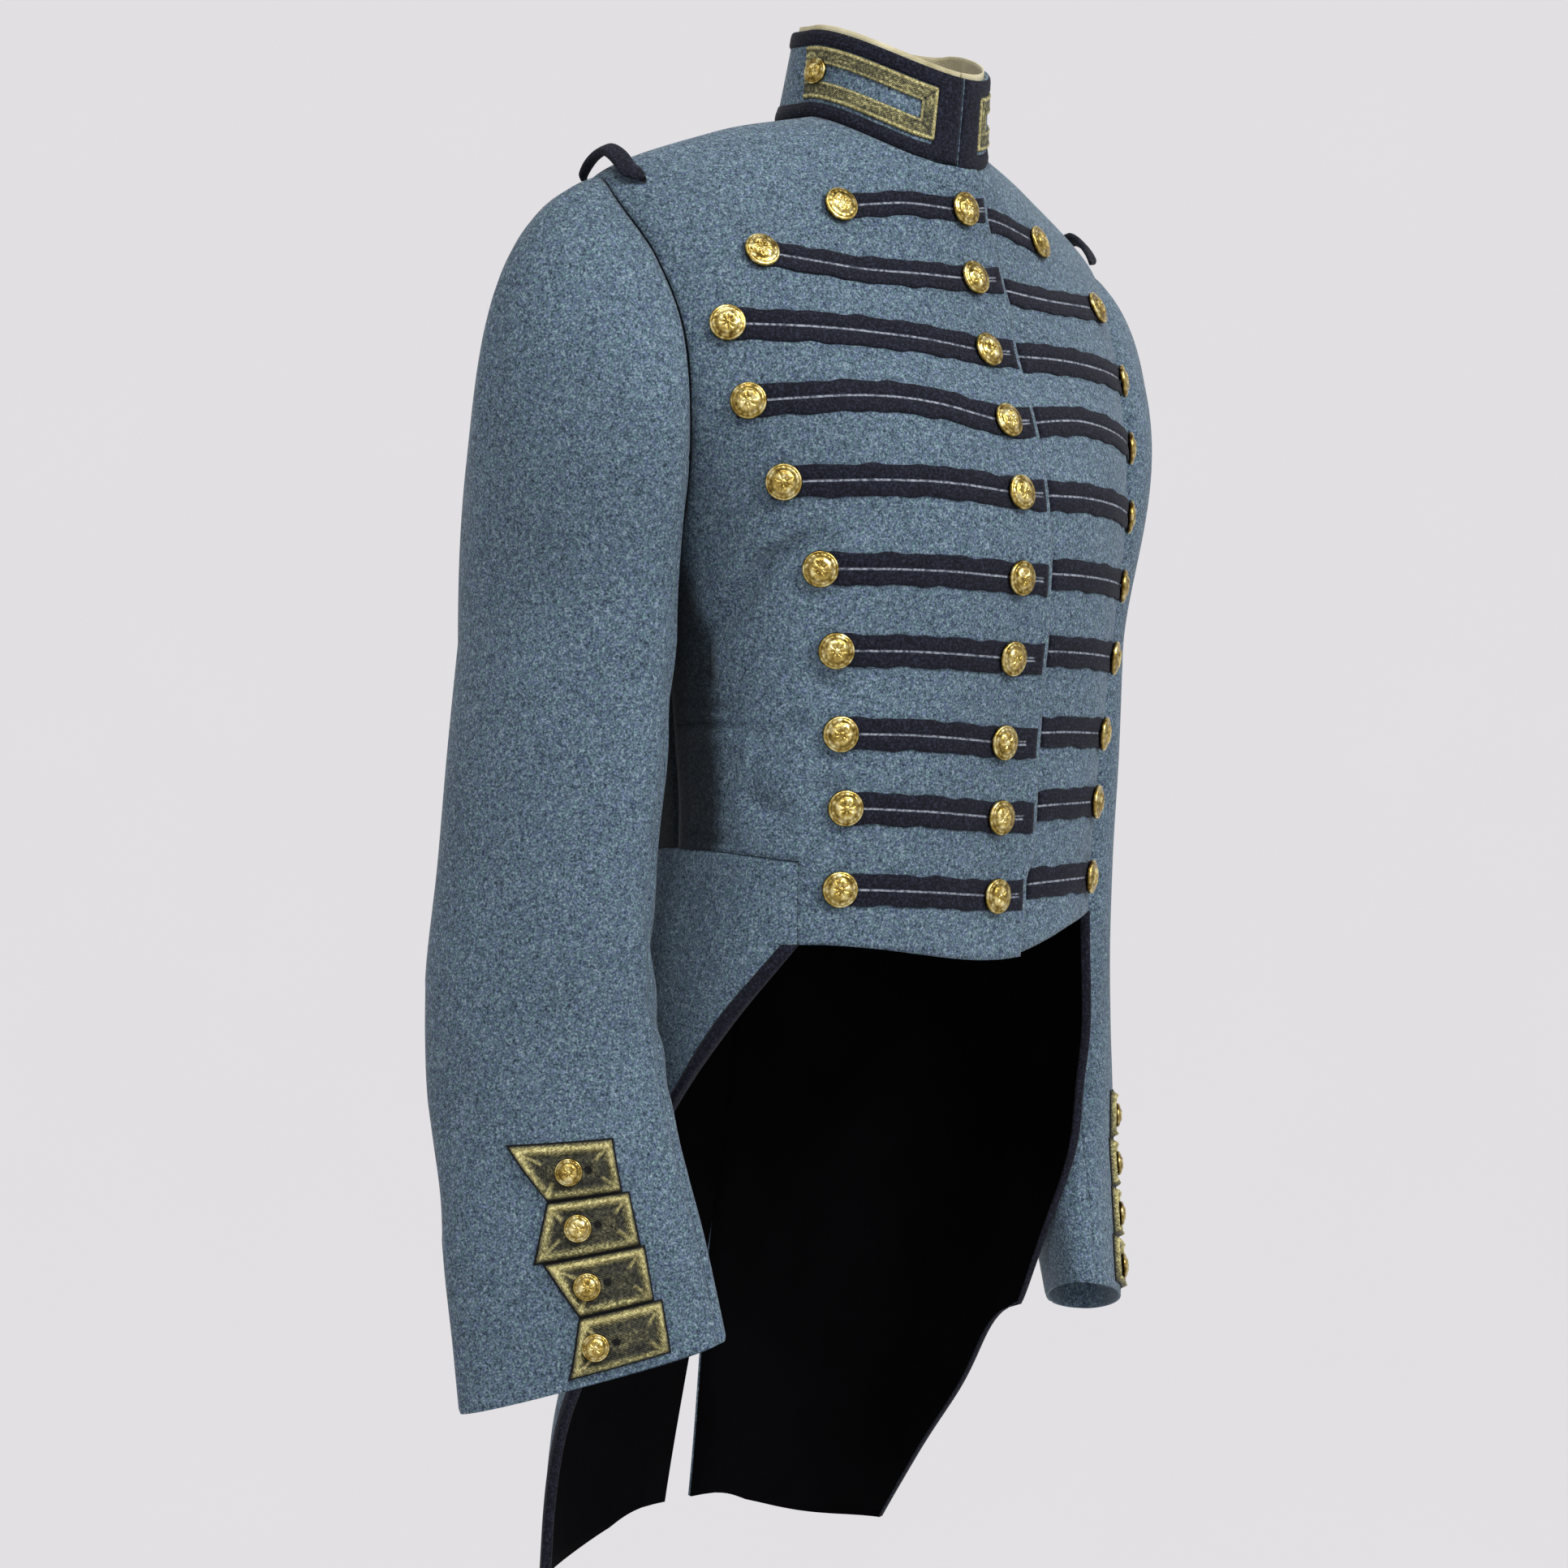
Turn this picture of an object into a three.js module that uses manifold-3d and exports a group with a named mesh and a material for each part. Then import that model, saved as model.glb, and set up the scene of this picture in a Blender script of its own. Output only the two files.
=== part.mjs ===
// Military jacket: a blue-grey wool tail coat with a braided front, in the shape it has when worn.
// Millimetres, +Z up. The wearer faces -Y and the wearer's left is +X.
// The origin is the middle of the collar, where the neck passes through it.

import * as THREE from "three";
import { mergeVertices } from "three/addons/utils/BufferGeometryUtils.js";
import Module from "manifold-3d";

const wasm = await Module();
wasm.setup();

// Driving dimensions
const cloth = 2.4; // wool with its interlining
const seam = 0.3; // gap between neighbouring pieces
const overlapLift = 3.1; // how far the right front stands off the left one that it covers
const overlapFull = 34; // the lift is whole up to this far from the centre line
const overlapEnd = 85; // and gone from here on
const underlap = 25; // how far the left front runs on under the right one
const shoulderDrop = 68; // from the neck to the shoulder point
const underarmDrop = 292;
const armholeHalfWidth = 52;
const underarmY = 27; // the armhole's lowest point and the side seam lie this far back
const waistDrop = 433; // waist seam at the side
const waistDropBack = 440;
const hemSeamOut = 119; // the short upright seam between a front and its tail
const collarHeight = 50;
const bindingWidth = 9;
const edgingWidth = 9;
const braidHeight = 1.4;
const braidGroove = 0.5;
const laceHeight = 1.6;
const laceGroove = 0.6;
const frontButton = { radius: 10, height: 5.4 };
const smallButton = { radius: 7.5, height: 4.4 };

// Rows of values under named columns.
function table(columns, rows) {
  return rows.map((row) => Object.fromEntries(columns.map((column, i) => [column, row[i]])));
}

// Sections of the body, by a drop that is roughly the depth below the neck. side, front and back are
// distances from the neck axis, ridge is where the widest point lies along Y, the three heights are
// those of the section's ends, and the squares are superellipse exponents.
const bodySections = table(
  ["drop", "side", "ridge", "front", "back", "sideZ", "frontZ", "backZ", "frontSquare", "backSquare"],
  [
    [0, 61, 0, 60, 62, -18, -48, -7, 2.0, 2.0],
    [31, 118, 10, 60, 80, -33, -66, -27, 1.75, 2.0],
    [68, 194, 22, 66, 98, -67, -103, -76, 1.65, 2.0],
    [110, 193, 20, 73, 106, -110, -130, -114, 2.1, 2.4],
    [153, 186, 18, 79, 110, -153, -156, -153, 2.5, 2.9],
    [194, 178, 17, 93, 113, -194, -194, -194, 2.6, 3.2],
    [237, 165, 16, 103.5, 115, -237, -237, -237, 2.65, 3.2],
    [283, 152, 15, 103.5, 116, -283, -283, -283, 2.8, 3.0],
    [327, 143, 13, 97, 115, -327, -327, -327, 3.1, 2.8],
    [371, 138, 12, 90.5, 114, -371, -371, -371, 3.2, 2.7],
    [412, 135, 11, 88, 115, -412, -412, -412, 3.1, 2.6],
    [457, 137, 12, 85, 118, -457, -457, -457, 2.85, 2.6],
    [495, 142, 14, 84, 122, -495, -495, -495, 2.7, 2.7],
    [575, 150, 18, 84, 135, -575, -575, -575, 2.6, 3.0],
    [640, 146, 20, 84, 147, -640, -640, -640, 2.6, 3.4],
    [700, 141, 22, 84, 158, -700, -700, -700, 2.6, 3.7],
    [777, 147, 26, 84, 172, -777, -777, -777, 2.6, 4.2],
    [870, 144, 30, 84, 189, -870, -870, -870, 2.6, 4.2],
  ],
);

// Braid bars from the neck down. out is the outer button's distance from the centre line, the heights
// are those of the bar's middle line at that button, halfway, at the centre line and at the front
// edge, edge is how far the right front reaches past the centre line, and outerDrop is where the
// bar's two edges would meet the armhole or side seam.
const bars = table(
  ["out", "outerZ", "midZ", "centreZ", "edgeZ", "edge", "outerDrop", "width"],
  [
    [80, -79, -74, -73, -69, 24, [33, 51], 14],
    [137, -111, -115.5, -113.5, -110, 30, [68, 93], 15.5],
    [161, -152, -151.5, -155.5, -154, 29, [118, 143], 17.5],
    [155, -194, -188, -196.5, -194, 28, [168, 193], 17.5],
    [140, -237, -234, -236.5, -236, 27, [218, 243], 17.5],
    [122, -283, -282, -283, -283, 29, [267.5, 292], 17.5],
    [112, -326.5, -326, -327, -327, 32, [318, 335], 17.5],
    [106, -371, -371.5, -374, -374, 34, [362, 379], 17.5],
    [101, -411, -413, -416, -416, 34, [402, 418], 17.5],
    [101, -455, -457, -460, -460, 28, null, 17.5],
  ],
);

// What differs between the wearer's right and left: the lower left bars and hem hang a little higher.
const sides = [
  { name: "right", sign: -1, rise: 0, hemCornerZ: -485 },
  { name: "left", sign: 1, rise: 4, hemCornerZ: -472 },
];
const hemCentreZ = -496;
const neckEdge = 15; // how far the right front reaches past the centre line at the collar

// Front edge of each tail from the hem corner down: height, and place along Y on each side.
const tailEdge = table(
  ["z", "right", "left"],
  [
    [-485, -62, -62],
    [-530, -22, -46],
    [-575, 14, -30],
    [-614, 34, -24],
    [-660, 58, -4],
    [-720, 92, 32],
    [-777, 118, 78],
    [-826, 134, 114],
    [-866, 140, 138],
  ],
);
const tailHemBackZ = -840;
const ventTop = -640; // the tails part below here
const ventGap = 11;

// Sections of a sleeve: middle (out from the neck axis, along Y and height), half sizes across and
// along the broad side, how far the broad side has turned to face forward, and the slope of the ring.
const sleeveSections = table(
  ["out", "y", "z", "narrow", "broad", "turn", "slope"],
  [
    [195, 50, -320, 42, 65, 18, 0.0],
    [199, 53, -380, 42, 64, 24, 0.02],
    [203, 57, -440, 41, 62, 30, 0.03],
    [206, 59, -500, 40, 64, 36, 0.04],
    [206, 55, -548, 38, 66, 40, 0.05],
    [205, 48, -590, 35, 67, 43, 0.07],
    [203, 42, -621, 32, 68, 45, 0.13],
    [202, 35, -652, 29, 70, 46, 0.18],
    [201, 28, -683, 26, 71, 47, 0.22],
    [200, 22, -713, 24, 72, 48, 0.26],
    [200, 21, -718, 24, 72, 48, 0.27],
  ],
);
const firstCuffRow = 5; // sleeve section at the top of the cuff lace
const sleeveHeadRows = 6;
const sleeveColumns = 18;
const underColumns = [6, 13]; // the undersleeve lies between these columns

// The four lace panels of a cuff, as sleeve azimuths: the pointed outer edge at the top and bottom of
// each panel, and the inner edge.
const cuffPanels = table(
  ["top", "bottom", "inner"],
  [
    [26, 40.5, 74.5],
    [40.5, 31.5, 78],
    [35.5, 47, 80],
    [47, 40, 84],
  ],
);

const materials = {
  wool: new THREE.MeshStandardMaterial({ color: 0x5e7280, roughness: 0.95, metalness: 0 }),
  lining: new THREE.MeshStandardMaterial({ color: 0x0b0b0f, roughness: 0.9, metalness: 0 }),
  braid: new THREE.MeshStandardMaterial({ color: 0x1b1d29, roughness: 0.85, metalness: 0 }),
  lace: new THREE.MeshStandardMaterial({ color: 0x85805a, roughness: 0.6, metalness: 0.3 }),
  brass: new THREE.MeshStandardMaterial({ color: 0xb08d45, roughness: 0.35, metalness: 0.9 }),
  cream: new THREE.MeshStandardMaterial({ color: 0xd8cfae, roughness: 0.9, metalness: 0 }),
};
const jacket = new THREE.Group();

// Interpolation and search
const degrees = Math.PI / 180;

function smooth(from, to, value) {
  const t = THREE.MathUtils.clamp((value - from) / (to - from), 0, 1);
  return t * t * (3 - 2 * t);
}

// Smooth curve through the rows of a table, read at a value of its key column.
function readTable(table, key, at, column) {
  const sign = table[1][key] > table[0][key] ? 1 : -1;
  let i = 0;
  while (i < table.length - 2 && (at - table[i + 1][key]) * sign > 0) i += 1;
  const a = table[i];
  const b = table[i + 1];
  const before = table[Math.max(i - 1, 0)];
  const after = table[Math.min(i + 2, table.length - 1)];
  const span = b[key] - a[key];
  const t = THREE.MathUtils.clamp((at - a[key]) / span, 0, 1);
  const slopeA = ((b[column] - before[column]) / (b[key] - before[key])) * span;
  const slopeB = ((after[column] - a[column]) / (after[key] - a[key])) * span;
  const t2 = t * t;
  const t3 = t2 * t;
  return (
    (2 * t3 - 3 * t2 + 1) * a[column] +
    (t3 - 2 * t2 + t) * slopeA +
    (3 * t2 - 2 * t3) * b[column] +
    (t3 - t2) * slopeB
  );
}

// The value between low and high where a rising function reaches its target.
function solve(rising, target, low, high) {
  for (let i = 0; i < 40; i += 1) {
    const middle = (low + high) / 2;
    if (rising(middle) < target) low = middle;
    else high = middle;
  }
  return (low + high) / 2;
}

// The body's outer surface, on the side of positive X. angle is 0 at the centre front, 90 at the
// shoulder line and side, and 180 at the centre back. A negative angle is past the centre front.
function bodyPoint(angle, drop) {
  const read = (column) => readTable(bodySections, "drop", drop, column);
  const turn = angle * degrees;
  const front = Math.abs(angle) < 90;
  const power = 2 / read(front ? "frontSquare" : "backSquare");
  const sine = Math.sin(turn);
  const cosine = Math.abs(Math.cos(turn));
  const ridge = read("ridge");
  const reach = front ? -(read("front") + ridge) : read("back") - ridge;
  const endZ = read(front ? "frontZ" : "backZ");
  return new THREE.Vector3(
    read("side") * Math.sign(sine) * Math.abs(sine) ** power,
    ridge + reach * cosine ** power,
    read("sideZ") + (endZ - read("sideZ")) * cosine ** 1.5,
  );
}

function bodyNormal(angle, drop) {
  const around = bodyPoint(angle + 2.5, drop).sub(bodyPoint(angle - 2.5, drop));
  const upper = Math.max(drop - 4, 0);
  const down = bodyPoint(angle, upper + 8).sub(bodyPoint(angle, upper));
  return down.cross(around).normalize();
}

const angleAtOut = (out, drop) => solve((angle) => bodyPoint(angle, drop).x, out, -60, 90);
const angleAtY = (y, drop) => solve((angle) => bodyPoint(angle, drop).y, y, 0, 180);

// The surface position at a distance from the centre line and a height.
function locate(out, z) {
  let drop = -z;
  let angle = 0;
  for (let i = 0; i < 8; i += 1) {
    angle = angleAtOut(out, drop);
    drop = solve((d) => -bodyPoint(angle, d).z, -z, 0, 500);
  }
  return { angle, drop };
}

function armholeAngle(drop, towardBack) {
  const t = (drop - shoulderDrop) / (underarmDrop - shoulderDrop);
  if (t <= 0) return 90;
  const top = readTable(bodySections, "drop", shoulderDrop, "ridge");
  const middle = THREE.MathUtils.lerp(top, underarmY, t);
  if (t >= 1) return angleAtY(middle, drop);
  const half = armholeHalfWidth * Math.sin(Math.PI * t) ** 0.7;
  return angleAtY(middle + (towardBack ? half : -half), drop);
}

const sideAngle = (drop) => angleAtY(underarmY, drop);
const seamAngle = (drop, towardBack) =>
  drop < underarmDrop ? armholeAngle(drop, towardBack) : sideAngle(drop);

// Meshes from grids

function closedMesh(vertices, triangles) {
  const geometry = new THREE.BufferGeometry();
  geometry.setAttribute("position", new THREE.Float32BufferAttribute(vertices, 3));
  geometry.setIndex(triangles);
  return geometry;
}

// Turns a geometry's faces so that they point out.
function facingOut(geometry) {
  const p = geometry.getAttribute("position");
  const index = Array.from(geometry.index.array);
  const corner = (i) => new THREE.Vector3().fromBufferAttribute(p, index[i]);
  let volume = 0;
  for (let i = 0; i < index.length; i += 3) volume += corner(i).dot(corner(i + 1).cross(corner(i + 2)));
  if (volume < 0) {
    for (let i = 0; i < index.length; i += 3) [index[i], index[i + 1]] = [index[i + 1], index[i]];
    geometry.setIndex(index);
  }
  return geometry;
}

// A closed wall between two grids of points. keep says which cells the wall has.
function wall(outer, inner, keep = () => true) {
  const rows = outer.length;
  const columns = outer[0].length;
  const has = (r, c) => r >= 0 && c >= 0 && r < rows - 1 && c < columns - 1 && keep(r, c);
  const vertices = [];
  const numbers = new Map();
  const number = (grid, side, r, c) => {
    const key = `${side},${r},${c}`;
    if (!numbers.has(key)) {
      numbers.set(key, vertices.length / 3);
      vertices.push(...grid[r][c].toArray());
    }
    return numbers.get(key);
  };
  const triangles = [];
  const quad = (a, b, c, d) => triangles.push(a, b, c, a, c, d);
  for (let r = 0; r < rows - 1; r += 1) {
    for (let c = 0; c < columns - 1; c += 1) {
      if (!has(r, c)) continue;
      const corners = [[r, c], [r, c + 1], [r + 1, c + 1], [r + 1, c]];
      const out = corners.map(([i, j]) => number(outer, "out", i, j));
      const back = corners.map(([i, j]) => number(inner, "in", i, j));
      quad(out[0], out[1], out[2], out[3]);
      triangles.push(back[0], back[2], back[1], back[0], back[3], back[2]);
      const neighbours = [has(r - 1, c), has(r, c + 1), has(r + 1, c), has(r, c - 1)];
      neighbours.forEach((joined, i) => {
        const next = (i + 1) % 4;
        if (!joined) quad(out[next], out[i], back[i], back[next]);
      });
    }
  }
  return facingOut(closedMesh(vertices, triangles));
}

const offset = (points, normals, distance) =>
  points.map((row, r) => row.map((p, c) => p.clone().addScaledVector(normals[r][c], distance)));

const part = (grid, [r0, r1], [c0, c1]) => grid.slice(r0, r1 + 1).map((row) => row.slice(c0, c1 + 1));

// Moves a border of a grid inwards, towards its neighbour, by a distance.
function pullIn(points, border, distance) {
  const rows = points.length;
  const columns = points[0].length;
  const pull = (p, q) => p.addScaledVector(q.clone().sub(p).normalize(), distance);
  if (border === "first") points.forEach((row) => pull(row[0], row[1]));
  if (border === "last") points.forEach((row) => pull(row[columns - 1], row[columns - 2]));
  if (border === "top") points[0].forEach((p, c) => pull(p, points[1][c]));
  if (border === "bottom") points[rows - 1].forEach((p, c) => pull(p, points[rows - 2][c]));
}

function add(name, geometry, material) {
  geometry.computeVertexNormals();
  const mesh = new THREE.Mesh(geometry, material);
  mesh.name = name;
  jacket.add(mesh);
}

// Places a grid of body positions on one side of the body, with the right front's lift.
function onBody(places, sign, lift = () => 0) {
  const points = [];
  const normals = [];
  for (const row of places) {
    const normalRow = row.map(({ angle, drop }) => bodyNormal(angle, drop));
    const pointRow = row.map(({ angle, drop }, c) =>
      bodyPoint(angle, drop).addScaledVector(normalRow[c], lift(angle, drop)));
    for (const v of [...normalRow, ...pointRow]) v.x *= sign;
    points.push(pointRow);
    normals.push(normalRow);
  }
  return { points, normals };
}

// Buttons

function solidOf(geometry) {
  const bare = geometry.clone();
  bare.deleteAttribute("normal");
  bare.deleteAttribute("uv");
  const merged = mergeVertices(bare, 1e-4);
  const mesh = new wasm.Mesh({
    numProp: 3,
    vertProperties: Float32Array.from(merged.getAttribute("position").array),
    triVerts: Uint32Array.from(merged.index.array),
  });
  return new wasm.Manifold(mesh);
}

function geometryOf(solid) {
  const mesh = solid.getMesh();
  return closedMesh(Array.from(mesh.vertProperties), Array.from(mesh.triVerts));
}

// A domed button with a rim, standing on a point along a normal. sink lets it into what it joins.
function buttonAt(point, normal, { radius, height }, sink) {
  const profile = [
    [0, -sink],
    [0.95 * radius, -sink],
    [radius, 0.4 * height],
    [0.62 * radius, 0.86 * height],
    [0, height],
  ].map(([r, z]) => new THREE.Vector2(r, z));
  const geometry = new THREE.LatheGeometry(profile, 12);
  geometry.applyQuaternion(new THREE.Quaternion().setFromUnitVectors(new THREE.Vector3(0, 1, 0), normal));
  geometry.translate(...point.toArray());
  return facingOut(mergedIndex(geometry));
}

function mergedIndex(geometry) {
  geometry.deleteAttribute("normal");
  geometry.deleteAttribute("uv");
  return mergeVertices(geometry, 1e-4);
}

const joined = (a, b) => facingOut(geometryOf(solidOf(a).add(solidOf(b))));

// A raised strip of braid, lace or edging over part of a grid, with a shallow groove along it.
function raised(points, normals, thickness, groove) {
  const between = (a, b) => a.clone().add(b).multiplyScalar(0.5);
  const rows = [];
  const directions = [];
  const heights = [];
  points.forEach((row, r) => {
    rows.push(row);
    directions.push(normals[r]);
    heights.push(thickness);
    if (r + 1 < points.length) {
      rows.push(row.map((p, c) => between(p, points[r + 1][c])));
      directions.push(normals[r].map((n, c) => between(n, normals[r + 1][c]).normalize()));
      heights.push(thickness - groove);
    }
  });
  const under = offset(rows, directions, seam);
  const upper = rows.map((row, r) =>
    row.map((p, c) => p.clone().addScaledVector(directions[r][c], seam + heights[r])));
  return wall(upper, under);
}

// Fronts. Columns: front edge, bar end, centre line, three between, outer button, two more, seam.
const buttonColumn = 6;
const hemSeamColumn = 7;
const centreColumn = 2;
const seamColumn = 9;

function barHeightAt(bar, out, rise) {
  const nodes = [
    { out: -bar.edge, z: bar.edgeZ },
    { out: 0, z: bar.centreZ },
    { out: bar.out * 0.5, z: bar.midZ },
    { out: bar.out, z: bar.outerZ },
  ];
  const lifted = rise * smooth(-230, -300, bar.centreZ);
  return readTable(nodes, "out", out, "z") + lifted;
}

function frontRow(outs, heightAt, outerAngle, outerDrop) {
  const row = outs.map((out) => locate(out, heightAt(out)));
  const last = row[row.length - 1];
  for (const t of [1 / 3, 2 / 3, 1]) {
    row.push({
      angle: THREE.MathUtils.lerp(last.angle, outerAngle, t),
      drop: THREE.MathUtils.lerp(last.drop, outerDrop, t),
    });
  }
  return row;
}

function frontPlaces(side) {
  const right = side.name === "right";
  const rows = [];
  const columnsOut = (bar) => {
    const edge = right ? bar.edge : underlap;
    const end = bar.out + 3;
    return [-edge, -edge + 4, 0, end * 0.25, end * 0.5, end * 0.75, end];
  };
  const neckReach = right ? neckEdge : -1;
  const neckAngles = [-neckReach, -neckReach + 3, right ? 0 : 5].map((out) => angleAtOut(out, 0));
  const neckRow = [...neckAngles, 14, 26, 38, 51, 64, 77, 90].map((angle) => ({ angle, drop: 0 }));
  rows.push(neckRow);
  bars.forEach((bar, i) => {
    [0.5, -0.5].forEach((edge, k) => {
      const heightAt = (out) => barHeightAt(bar, out, side.rise) + edge * bar.width;
      if (bar.outerDrop) {
        const drop = bar.outerDrop[k];
        rows.push(frontRow(columnsOut(bar), heightAt, seamAngle(drop, false), drop));
      } else {
        rows.push(lowRow(columnsOut(bar), heightAt));
      }
    });
    if (i === 0) {
      const first = rows[1];
      const middle = neckRow.map((place, c) => ({
        angle: (place.angle + first[c].angle) / 2,
        drop: (place.drop + first[c].drop) / 2,
      }));
      rows.splice(1, 0, middle);
    }
    if (i === bars.length - 2) {
      const waistZ = -437 + side.rise * 0.7;
      const row = columnsOut(bar).map((out) => locate(out, waistZ));
      const corner = locate(hemSeamOut, waistZ - 3);
      const sideDrop = waistDrop;
      row.push(corner);
      row.push({ angle: (corner.angle + sideAngle(sideDrop)) / 2, drop: (corner.drop + sideDrop) / 2 });
      row.push({ angle: sideAngle(sideDrop), drop: sideDrop });
      rows.push(row);
    }
  });
  const hemAt = (out) => {
    const t = smooth(0, hemSeamOut, Math.abs(out));
    return THREE.MathUtils.lerp(hemCentreZ, side.hemCornerZ, t);
  };
  rows.push(lowRow(columnsOut({ ...bars[9], edge: 24 }), hemAt));
  return rows;
}

// Below the waist seam a front ends at its short upright seam; the last columns only fill the grid.
function lowRow(outs, heightAt) {
  const row = [...outs, hemSeamOut].map((out) => locate(out, heightAt(out)));
  const last = row[row.length - 1];
  row.push(last, last);
  return row;
}

const fronts = {};
const rowOfBar = (i) => 2 + 2 * i + (i === bars.length - 1 ? 1 : 0);
const waistRow = rowOfBar(bars.length - 1) - 1;

for (const side of sides) {
  const right = side.name === "right";
  const places = frontPlaces(side);
  const lift = (angle, drop) => {
    if (!right) return 0;
    const out = bodyPoint(angle, drop).x;
    const nearNeck = smooth(0, 26, drop);
    const full = THREE.MathUtils.lerp(2, overlapFull, nearNeck);
    const end = THREE.MathUtils.lerp(16, overlapEnd, nearNeck);
    return overlapLift * (1 - smooth(full, end, out));
  };
  const { points, normals } = onBody(places, side.sign, lift);
  const trimmed = points.map((row) => row.map((p) => p.clone()));
  for (let r = 0; r <= waistRow; r += 1) {
    const p = trimmed[r][seamColumn];
    const inward = trimmed[r][seamColumn - 1].clone().sub(p).normalize();
    p.addScaledVector(inward, seam / 2);
  }
  for (let r = waistRow + 1; r < trimmed.length; r += 1) {
    const p = trimmed[r][hemSeamColumn];
    p.addScaledVector(trimmed[r][hemSeamColumn - 1].clone().sub(p).normalize(), seam / 2);
  }
  fronts[side.name] = { places, points: trimmed, normals };
  const keep = (r, c) => r < waistRow || c < hemSeamColumn;
  add(`front_${side.name}`, wall(trimmed, offset(trimmed, normals, -cloth), keep), materials.wool);
}

// Braid bars, each with the button at its outer end, and the centre buttons on the right front.
// On the left front the bars start just past the right front's edge.
for (const side of sides) {
  const { points, normals, places } = fronts[side.name];
  bars.forEach((bar, i) => {
    const r = rowOfBar(i);
    const from = side.name === "right" ? 1 : centreColumn;
    const strip = [points, normals].map((grid) => part(grid, [r, r + 1], [from, buttonColumn]));
    if (side.name === "left") {
      for (const k of [0, 1]) {
        const start = bar.edge + 2.5;
        const [a, b] = [strip[0][k][0].x, strip[0][k][1].x];
        const t = (start - a) / (b - a);
        if (t < 1) strip[0][k][0] = strip[0][k][0].clone().lerp(strip[0][k][1], Math.max(t, 0));
        else strip[0][k][0] = strip[0][k][1].clone().lerp(strip[0][k][2], 0.2);
      }
      if (bar.edge + 2.5 > strip[0][0][1].x) {
        const t = (bar.edge + 2.5 - strip[0][0][1].x) / (strip[0][0][2].x - strip[0][0][1].x);
        for (const k of [0, 1]) strip[0][k][1] = strip[0][k][1].clone().lerp(strip[0][k][2], t);
        for (const grid of strip) for (const row of grid) row.shift();
      }
    }
    const bar3d = raised(strip[0], strip[1], braidHeight, braidGroove);
    const onBar = (c, grid) => grid[r][c].clone().lerp(grid[r + 1][c], 0.5);
    const along = onBar(buttonColumn + 1, points).sub(onBar(buttonColumn - 1, points));
    const up = points[r][buttonColumn].clone().sub(points[r + 1][buttonColumn]);
    const outerNormal = along.cross(up).multiplyScalar(side.sign).normalize();
    const seat = onBar(buttonColumn, points)
      .lerp(onBar(buttonColumn - 1, points), 0.1)
      .addScaledVector(outerNormal, seam + braidHeight);
    const outerButton = buttonAt(seat, outerNormal, frontButton, 0.5);
    add(`braid_${side.name}_${i + 1}`, joined(bar3d, outerButton), materials.braid);
    if (side.name === "right") {
      const normal = onBar(centreColumn, normals).normalize();
      const centre = onBar(centreColumn, points).addScaledVector(normal, seam + braidHeight + seam);
      add(`centre_button_${i + 1}`, buttonAt(centre, normal, frontButton, 0), materials.brass);
    }
  });
}

// Backs. Rows meet the fronts' rows at the shoulder, armhole and side seams.
const backColumns = 7;
const backs = {};
for (const side of sides) {
  const outerDrops = fronts[side.name].places.slice(0, waistRow + 1).map((row) => row[seamColumn].drop);
  const places = outerDrops.map((drop, r) => {
    const first = seamAngle(drop, true);
    const last = r === waistRow ? waistDropBack : drop;
    return Array.from({ length: backColumns }, (_, c) => {
      const t = c / (backColumns - 1);
      return { angle: first + (180 - first) * t, drop: drop + (last - drop) * t };
    });
  });
  const { points, normals } = onBody(places, side.sign);
  const trimmed = points.map((row) => row.map((p) => p.clone()));
  pullIn(trimmed, "first", seam / 2);
  pullIn(trimmed, "last", seam / 2);
  backs[side.name] = { places, points: trimmed, normals };
  add(`back_${side.name}`, wall(trimmed, offset(trimmed, normals, -cloth)), materials.wool);
}

// Tails, from the waist seam down. The first column is the front edge, the last the centre back.
function tailPlaces(side) {
  const front = fronts[side.name].places;
  const back = backs[side.name].places;
  const top = [...front[waistRow].slice(hemSeamColumn), ...back[waistRow].slice(1)];
  const lastColumn = top.length - 1;
  const rows = [top];
  const spread = (first, second, backDrop, ease) => {
    const row = [first, second];
    for (let c = 2; c <= lastColumn; c += 1) {
      const t = (c - 1) / (lastColumn - 1);
      row.push({
        angle: THREE.MathUtils.lerp(second.angle, 180, t),
        drop: THREE.MathUtils.lerp(second.drop, backDrop, t ** ease),
      });
    }
    return row;
  };
  const edgeRow = (first, backDrop, ease) => {
    const here = bodyPoint(first.angle, first.drop);
    const step = (angle) => bodyPoint(angle, first.drop).distanceTo(here);
    const angle = solve(step, edgingWidth, first.angle, first.angle + 30);
    return spread(first, { angle, drop: first.drop }, backDrop, ease);
  };
  for (let r = waistRow + 1; r < front.length; r += 1) {
    const first = front[r][hemSeamColumn];
    const isCorner = r === front.length - 1;
    const lower = first.drop + 6;
    const second = { angle: first.angle + 14 - 4 * (r - waistRow), drop: first.drop };
    rows.push(isCorner ? edgeRow(first, lower, 1) : spread(first, second, lower, 1));
  }
  for (const { z } of tailEdge.slice(1)) {
    const y = readTable(tailEdge, "z", z, side.name);
    const drop = -z;
    const t = smooth(-720, -866, z);
    const backDrop = THREE.MathUtils.lerp(drop, -tailHemBackZ, t);
    rows.push(edgeRow({ angle: angleAtY(y, drop), drop }, backDrop, 1 + 2 * t));
  }
  return rows;
}

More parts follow.
